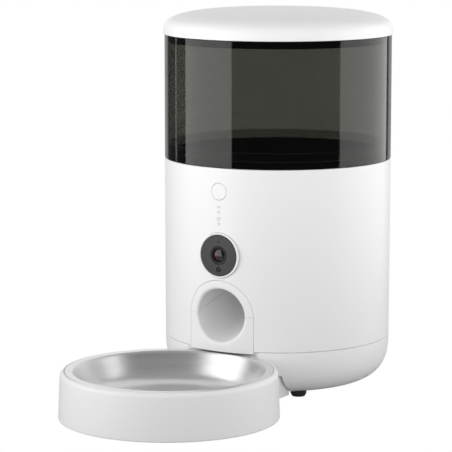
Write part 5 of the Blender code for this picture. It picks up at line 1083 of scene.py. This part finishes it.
# %% The bowl holder, its dish and its arm
LEDGE = 37.9
LEDGE_UNDER = 35.3
DISH_TOP = 35.0
DISH_GAP = 1.35
DISH_UNDER = 3.95
rim_round = []
for step in range(11):
    angle = math.pi / 2 * step / 10
    rim_round.append((84.7 + 3.5 * math.sin(angle), 35.0 + 4.2 * math.cos(angle)))
ledge_line = rounded([
    (79.0, LEDGE_UNDER), (79.0, LEDGE, 0.2), (84.7, LEDGE, 0.1), (84.7, FLANGE_HEIGHT, 0.2), rim_round[1],
])
skirt_line = rounded([
    (88.21, 34.7), (89.7, 0.6, 1.3), (81.0, 0.6, 0.4), (81.0, 3.4, 0.3), (87.1, 3.4, 0.8),
    (85.6, LEDGE_UNDER, 0.3), (79.0, LEDGE_UNDER),
])
holder_outline = ledge_line[:-1] + rim_round[1:] + skirt_line[:-1]
holder = turned("bowl_holder", holder_outline, bowl_axis, white_plastic, 256)
groove_outline = [(86.6, 1.6), (86.6, -4), (82.5, -4), (82.5, 1.6)]
carve(holder, [turned("groove tool", groove_outline, bowl_axis)])
dress(holder, "holder", "white_plastic", "bowl_holder")
dish_line = [point for point in wall_from(inner_bowl, -DISH_GAP) if point[1] < DISH_TOP - 0.2]
dish_line[0] = (0, BOWL_FLOOR - DISH_GAP)
dish_under = [point for point in reversed(wall_from(inner_bowl, -DISH_UNDER)) if point[1] < 32.8]
dish_under[-1] = (0, BOWL_FLOOR - DISH_UNDER)
dish_edge = rounded([
    dish_line[-1], (77.4, DISH_TOP, 0.2), (85.0, DISH_TOP, 0.3), (85.0, 33.0, 0.3), (79.3, 33.0, 0.5),
    dish_under[0],
])[1:-1]
dish = turned("holder_dish", dish_line + dish_edge + dish_under, bowl_axis, white_plastic, closed=False)
dress(dish, "holder", "white_plastic", "holder_dish")
arm = block("holder_arm", (-48.2, -110, 2.4), (48.2, -62.0, 21.4), white_plastic, 1.2, offset)
carve(arm, [block("arm hollow", (-45.8, -120, -2), (45.8, -64.4, 19.0), turn=offset)])
carve(arm, [rod("arm start", 87.1, -4, 30, bowl_axis, FINE_TURN)])
dress(arm, "holder", "white_plastic", "bowl_holder")

# %% [markdown]
# The feeder stands on four rubber feet, and the holder on a rubber ring that keeps it from sliding. The
# feet have fine ribs under their soles. One foot is made, and Geometry Nodes puts a copy on each of four
# points. The four base screws are placed by the same tree.


# %% A geometry tree that copies a shape to points
def copies_tree():
    tree, given = start_tree("Copies on points", {
        "Points": "Geometry", "Shape to copy": "Object", "Material": "Material",
    })
    source = add_node(tree, "GeometryNodeObjectInfo", {"Object": given["Shape to copy"]})
    placed = add_node(tree, "GeometryNodeInstanceOnPoints", {
        "Points": given["Points"], "Instance": source.outputs["Geometry"],
    })
    return end_tree(tree, placed.outputs["Instances"], given["Material"])


copies_on_points = copies_tree()


def copies(name, shape, places, material):
    """One mesh with a copy of a shape at each place, in metres."""
    mesh = bpy.data.meshes.new(name)
    mesh.from_pydata([tuple(place) for place in places], [], [])
    points = piece_from(name + " points", mesh)
    result = run_tree(points, copies_on_points, {"Shape to copy": shape, "Material": material})
    bpy.data.objects.remove(shape)
    return piece_from(name, settle_mesh(result))


# %% Feet, grip ring and base screws
origin = Vector((0, 0, 0))
foot_outline = [(0, 5.6)] + rounded([(0, 5.6), (6.8, 5.6, 0.4), (6.8, 2.6, 1.0), (5.4, 0, 0.5), (4.6, 0)])[1:]
for radius in (3.8, 2.6, 1.4):
    foot_outline += [(radius + 0.35, 0), (radius, 0.45), (radius - 0.35, 0)]
foot = turned("foot shape", foot_outline + [(0, 0)], origin, None, 48, closed=False)
feet = copies("rubber_feet", foot, foot_places, foot_rubber)
dress(feet, "feeder", "dark_rubber", "foot_1", "foot_2", "foot_3", "foot_4")
ring_corners = [
    (86.3, 1.3, 0.2), (86.3, 0.3, 0.3), (85.6, 0, 0.2), (84.9, 0.35, 0.2),
    (84.2, 0, 0.2), (83.5, 0.35, 0.2), (82.8, 0.1, 0.2), (82.8, 1.3, 0.2),
]
grip_ring = turned("holder_grip_ring", rounded(ring_corners, 3), bowl_axis, foot_rubber)
dress(grip_ring, "holder", "dark_rubber", "holder_grip_ring")
screw_outline = [
    (0, 58.0), (0.7, 57.4), (1.4, 56.0), (1.4, 20.0), (3.0, 20.0), (3.0, 18.6), (2.6, 18.0), (1.1, 17.8),
    (1.0, 17.9), (1.0, 19.0), (0, 19.0),
]
screw = turned("screw shape", screw_outline, origin, None, 32, closed=False)
carve(screw, [block("drive slot", (-2.0, -0.35, 17), (2.0, 0.35, 18.8))])
carve(screw, [block("drive slot", (-0.35, -2.0, 17), (0.35, 2.0, 18.8))])
screws = copies("base_screws", screw, screw_places, plated_steel)
dress(screws, "feeder", "plain_steel", "base_screw_1", "base_screw_2", "base_screw_3", "base_screw_4")

# %% [markdown]
# The battery door under the base is a plain cover with grip ribs at one end. A row of ribs is what
# Geometry Nodes does best: a line of points, and one small bar on each.


# %% A geometry tree for rows of ribs
def rib_row_tree():
    tree, given = start_tree("Row of ribs", {
        "Geometry": "Geometry", "Ribs": "Int", "Step": "Vector", "Rib size": "Vector", "Material": "Material",
    })
    row = add_node(tree, "GeometryNodeMeshLine", {"Count": given["Ribs"], "Offset": given["Step"]})
    bar = add_node(tree, "GeometryNodeMeshCube", {"Size": given["Rib size"]})
    placed = add_node(tree, "GeometryNodeInstanceOnPoints", {
        "Points": row.outputs["Mesh"], "Instance": bar.outputs["Mesh"],
    })
    return end_tree(tree, placed.outputs["Instances"], given["Material"])


row_of_ribs = rib_row_tree()


def rib_row(name, count, step, size, start, material=None):
    guide = piece_from(name + " guide", bpy.data.meshes.new(name))
    mesh = run_tree(guide, row_of_ribs, {
        "Ribs": count, "Step": Vector(step) * MM, "Rib size": Vector(size) * MM, "Material": material,
    })
    return piece_from(name, settle_mesh(mesh, UP, start))


# %% The battery door
door = block("battery_door", (-34, -52, 3.5), (34, 52, 6.2), white_plastic, 0.5, offset)
grooves_place = feeder_axis + Vector((0, 32, 3.5)) * MM
carve(door, [rib_row("door grooves", 7, (0, 2.4, 0), (26, 1.1, 1.2), grooves_place)])
dress(door, "door", "white_plastic", "battery_door")

# %% [markdown]
# The pieces inside keep the shape of their solids. A solid's mesh is loose triangles with sharp edges, so
# a copy of it is merged, its flat faces are joined again, and its edges get a small bevel. Each one then
# takes the finish that its material has on the real feeder.

# %% Pieces that keep their solid's shape
inner_pieces = [
    ("portion_baffle", "hopper", grey_silicone, "grey_silicone", 0.3),
    ("dosing_rotor", "rotor", gear_resin, "gear_plastic", 0.3),
    ("agitator", "rotor", grey_silicone, "grey_silicone", 0.3),
    ("moisture_box", "lid", white_plastic, "white_plastic", 0.3),
    ("moisture_cover", "cover", grey_silicone, "grey_silicone", 0.25),
    ("hopper_seat", "feeder", inner_grey, "inner_plastic", 0.3),
    ("gear_case", "feeder", inner_grey, "inner_plastic", 0.3),
    ("battery_box", "feeder", inner_grey, "inner_plastic", 0.3),
    ("power_inlet", "feeder", black_plastic, "black_plastic", 0.2),
    ("reset_button", "reset", black_plastic, "black_plastic", 0.2),
    ("gear_motor", "feeder", plated_steel, "plain_steel", 0.4),
    ("shaft_bush", "feeder", bearing_bronze, "bearing_metal", 0.15),
    ("drive_gear", "drive", gear_resin, "gear_plastic", 0.1),
    ("idler_gear", "idler", gear_resin, "gear_plastic", 0.1),
    ("motor_pinion", "pinion", gear_resin, "gear_plastic", 0.1),
    ("speaker", "feeder", black_plastic, "black_plastic", 0.3),
    ("main_board", "feeder", circuit_board, "circuit_board", 0.1),
    ("camera_board", "feeder", circuit_board, "circuit_board", 0.1),
    ("button_board", "feeder", circuit_board, "circuit_board", 0.1),
    ("camera_barrel", "feeder", black_plastic, "black_plastic", 0.3),
    ("button_switch", "feeder", black_plastic, "black_plastic", 0.2),
    ("microphone", "feeder", black_plastic, "black_plastic", 0.1),
    ("night_light_left", "feeder", black_plastic, "black_plastic", 0.1),
    ("night_light_right", "feeder", black_plastic, "black_plastic", 0.1),
    ("food_sensor_left", "feeder", black_plastic, "black_plastic", 0.1),
    ("food_sensor_right", "feeder", black_plastic, "black_plastic", 0.1),
    ("light_pipe_upper", "feeder", frosted_light, "light_pipe", 0.05),
    ("light_pipe_lower", "feeder", frosted_light, "light_pipe", 0.05),
    ("battery_contact_left", "feeder", plated_steel, "plain_steel", 0.1),
    ("battery_contact_right", "feeder", plated_steel, "plain_steel", 0.1),
    ("battery_cell_1", "feeder", cell_wrap, "cell_wrap", 0.3),
    ("battery_cell_2", "feeder", cell_wrap, "cell_wrap", 0.3),
    ("battery_cell_3", "feeder", cell_wrap, "cell_wrap", 0.3),
]


def softened_copy(node, material, bevel):
    """A copy of a solid with merged points, joined flat faces and small bevels."""
    shape = bmesh.new()
    shape.from_mesh(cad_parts[node].data)
    bmesh.ops.remove_doubles(shape, verts=shape.verts, dist=MERGE_DISTANCE)
    bmesh.ops.dissolve_limit(shape, angle_limit=math.radians(1), verts=shape.verts, edges=shape.edges)
    piece = piece_from(node + "_look", mesh_of(shape, node, material))
    step = piece.modifiers.new("Soft edges", "BEVEL")
    step.width = bevel * MM
    step.segments = 2
    step.limit_method = "ANGLE"
    step.angle_limit = SMOOTH_ANGLE
    step.use_clamp_overlap = True
    mesh = evaluated_mesh(piece)
    piece.modifiers.clear()
    piece.data = smoothed(mesh)
    return piece


for node, body, material, slot, bevel in inner_pieces:
    dress(softened_copy(node, material, bevel), body, slot, node)

# %% [markdown]
# The camera stands where the photograph's camera stood: a little to the right of the feeder's front and
# slightly above it, far off with a long lens, so that upright lines stay nearly parallel.

# %% The camera that takes the picture
SIDE_ANGLE = math.radians(30.16)
DISTANCE = 2.03495
EYE_HEIGHT = 0.44453
LOOK_DOWN = math.radians(8.68)
LOOK_ASIDE = math.radians(1.25)
FOCAL_PIXELS = 2387.47
PICTURE_PIXELS = 452
SENSOR = 36.0

towards = Vector((-math.sin(SIDE_ANGLE), math.cos(SIDE_ANGLE), 0))
towards.rotate(Matrix.Rotation(LOOK_ASIDE, 3, "Z"))
right_hand = Vector((towards.y, -towards.x, 0))
looking = towards * math.cos(LOOK_DOWN) - Vector((0, 0, math.sin(LOOK_DOWN)))
upwards = right_hand.cross(looking)
camera_data = bpy.data.cameras.new("photo camera")
camera_data.sensor_width = SENSOR
camera_data.lens = FOCAL_PIXELS / PICTURE_PIXELS * SENSOR
camera_data.clip_end = 20
camera = bpy.data.objects.new("photo camera", camera_data)
bpy.context.scene.collection.objects.link(camera)
turn = Matrix((right_hand, upwards, -looking)).transposed().to_4x4()
stand = feeder_axis + Vector((DISTANCE * math.sin(SIDE_ANGLE), -DISTANCE * math.cos(SIDE_ANGLE), EYE_HEIGHT))
camera.matrix_world = Matrix.Translation(stand) @ turn
bpy.context.scene.camera = camera
print("lens", round(camera_data.lens, 2), "mm at", [round(value, 3) for value in stand])

# %% [markdown]
# The light is that of a plain product studio. Two tall soft panels stand left and right of the feeder, and
# the front stays dark, so the smoked wall mirrors only the panels' edges. A thin strip at the far left
# draws the fine light line beside them. The bearings are measured from the camera's direction, as a
# mirror of the round wall shows them.

# %% Soft panels
PANEL_REACH = 1.1
PANEL_BOTTOM = -0.35
PANEL_TOP = 0.95
to_camera = Vector((math.sin(SIDE_ANGLE), -math.cos(SIDE_ANGLE), 0))
to_right = Vector((math.cos(SIDE_ANGLE), math.sin(SIDE_ANGLE), 0))


def panel(name, bearing_from, bearing_to, brightness):
    """A tall area lamp between two bearings round the feeder, facing it."""
    bearing = math.radians((bearing_from + bearing_to) / 2)
    half = math.radians(abs(bearing_to - bearing_from) / 2)
    width = 2 * PANEL_REACH * math.tan(half)
    height = PANEL_TOP - PANEL_BOTTOM
    lamp = bpy.data.lights.new(name, "AREA")
    lamp.shape = "RECTANGLE"
    lamp.size = width
    lamp.size_y = height
    lamp.energy = brightness * math.pi * width * height
    thing = bpy.data.objects.new(name, lamp)
    bpy.context.scene.collection.objects.link(thing)
    out = to_camera * math.cos(bearing) + to_right * math.sin(bearing)
    thing.location = feeder_axis + out * PANEL_REACH + Vector((0, 0, (PANEL_BOTTOM + PANEL_TOP) / 2))
    thing.rotation_euler = (-out).to_track_quat("-Z", "Y").to_euler()
    thing.visible_camera = False
    return thing


LEFT_PANEL = 1.48
RIGHT_PANEL = 1.35
LEFT_STRIP = 0.8
panel("left panel", -103.8, -45.6, LEFT_PANEL)
panel("right panel", 63, 140, RIGHT_PANEL)
panel("left strip", -122.6, -120.4, LEFT_STRIP)
print("panels stand", PANEL_REACH, "m from the feeder's axis")

# %% [markdown]
# The world fills the shadows evenly, a little more from the front than from above. To the camera, and
# through the clear wall, it is plain white. In a mirror it is white behind the feeder, grey overhead and
# black in front, like the dark side of a studio. The floor is a small dull disc that shows plain white.
# It glows a little upwards, and a camera under it looks through it to the feeder's underside.

# %% World and floor
FILL_ABOVE = 0.45
FILL_FRONT = 1.5
FILL_BACK = 0.5
FILL_BELOW = 0.8
MIRROR_DARK = 0.06
MIRROR_ABOVE = 0.35
MIRROR_REAR_BELOW = 0.45
MIRROR_REAR = 1.0


def seen_straight(tree):
    """1 for the camera's own rays, also through clear walls, and 0 once a ray was mirrored."""
    ray = add_node(tree, "ShaderNodeLightPath")
    unmirrored = add_node(tree, "ShaderNodeMath", {
        0: ray.outputs["Glossy Depth"], 1: 0.5,
    }, operation="LESS_THAN")
    through = add_node(tree, "ShaderNodeMath", {
        0: ray.outputs["Is Transmission Ray"], 1: unmirrored.outputs["Value"],
    }, operation="MULTIPLY")
    return add_node(tree, "ShaderNodeMath", {
        0: ray.outputs["Is Camera Ray"], 1: through.outputs["Value"],
    }, operation="MAXIMUM").outputs["Value"]


def studio_world():
    world = bpy.data.worlds.new("studio")
    bpy.context.scene.world = world
    world.use_nodes = True
    tree = world.node_tree
    tree.nodes.clear()
    ray = add_node(tree, "ShaderNodeLightPath")
    direction = add_node(tree, "ShaderNodeTexCoord").outputs["Generated"]
    ahead = add_node(tree, "ShaderNodeVectorMath", {
        0: direction, 1: to_camera,
    }, operation="DOT_PRODUCT").outputs["Value"]
    height = add_node(tree, "ShaderNodeSeparateXYZ", {"Vector": direction}).outputs["Z"]

    def blend(share, one, other):
        return add_node(tree, "ShaderNodeMix", {"Factor": share, "A": one, "B": other}).outputs["Result"]

    level = between(tree, ahead, -0.3, 0.3, FILL_BACK, FILL_FRONT)
    level = blend(between(tree, height, 0.15, 0.65, 0.0, 1.0), level, FILL_ABOVE)
    level = blend(between(tree, height, -0.15, -0.6, 0.0, 1.0), level, FILL_BELOW)
    rear = between(tree, height, -0.02, 0.02, MIRROR_REAR_BELOW, MIRROR_REAR)
    rear = blend(between(tree, ahead, -0.84, -0.90, 0.0, 1.0), MIRROR_DARK, rear)
    above = between(tree, ahead, 0.0, -0.5, MIRROR_ABOVE, MIRROR_REAR)
    above = blend(between(tree, height, 0.15, 0.7, 0.0, 1.0), 0.0, above)
    mirrored = add_node(tree, "ShaderNodeMath", {0: rear, 1: above}, operation="MAXIMUM").outputs["Value"]
    plain = seen_straight(tree)
    level = blend(ray.outputs["Is Glossy Ray"], level, mirrored)
    level = blend(plain, level, 1.0)
    glow = add_node(tree, "ShaderNodeBackground", {"Color": (1, 1, 1, 1), "Strength": level})
    add_node(tree, "ShaderNodeOutputWorld", {"Surface": glow.outputs["Background"]})


studio_world()


FLOOR_RADIUS = 0.7
FLOOR_COLOUR = 0.28
FLOOR_GLOW = 0.10


def studio_floor():
    shape = bmesh.new()
    bmesh.ops.create_circle(shape, cap_ends=True, segments=128, radius=FLOOR_RADIUS)
    bmesh.ops.translate(shape, vec=feeder_axis - Vector((0, 0, 0.0002)), verts=shape.verts)
    material = bpy.data.materials.new("pale floor")
    material.use_nodes = True
    tree = material.node_tree
    tree.nodes.clear()
    dull = add_node(tree, "ShaderNodeBsdfDiffuse", {"Color": (FLOOR_COLOUR, FLOOR_COLOUR, FLOOR_COLOUR, 1)})
    faint = add_node(tree, "ShaderNodeEmission", {"Color": (1, 1, 1, 1), "Strength": FLOOR_GLOW})
    lighting = add_node(tree, "ShaderNodeAddShader", {0: dull.outputs["BSDF"], 1: faint.outputs["Emission"]})
    white = add_node(tree, "ShaderNodeEmission", {"Color": (1, 1, 1, 1), "Strength": 1.0})
    both = add_node(tree, "ShaderNodeMixShader", {
        "Fac": seen_straight(tree), 1: lighting.outputs["Shader"], 2: white.outputs["Emission"],
    })
    from_below = add_node(tree, "ShaderNodeMath", {
        0: add_node(tree, "ShaderNodeNewGeometry").outputs["Backfacing"],
        1: add_node(tree, "ShaderNodeLightPath").outputs["Is Camera Ray"],
    }, operation="MULTIPLY")
    shown = add_node(tree, "ShaderNodeMixShader", {
        "Fac": from_below.outputs["Value"], 1: both.outputs["Shader"],
        2: add_node(tree, "ShaderNodeBsdfTransparent").outputs["BSDF"],
    })
    add_node(tree, "ShaderNodeOutputMaterial", {"Surface": shown.outputs["Shader"]})
    return piece_from("studio_floor", mesh_of(shape, "floor", material))


studio_floor()
bpy.context.scene.view_settings.view_transform = "Standard"
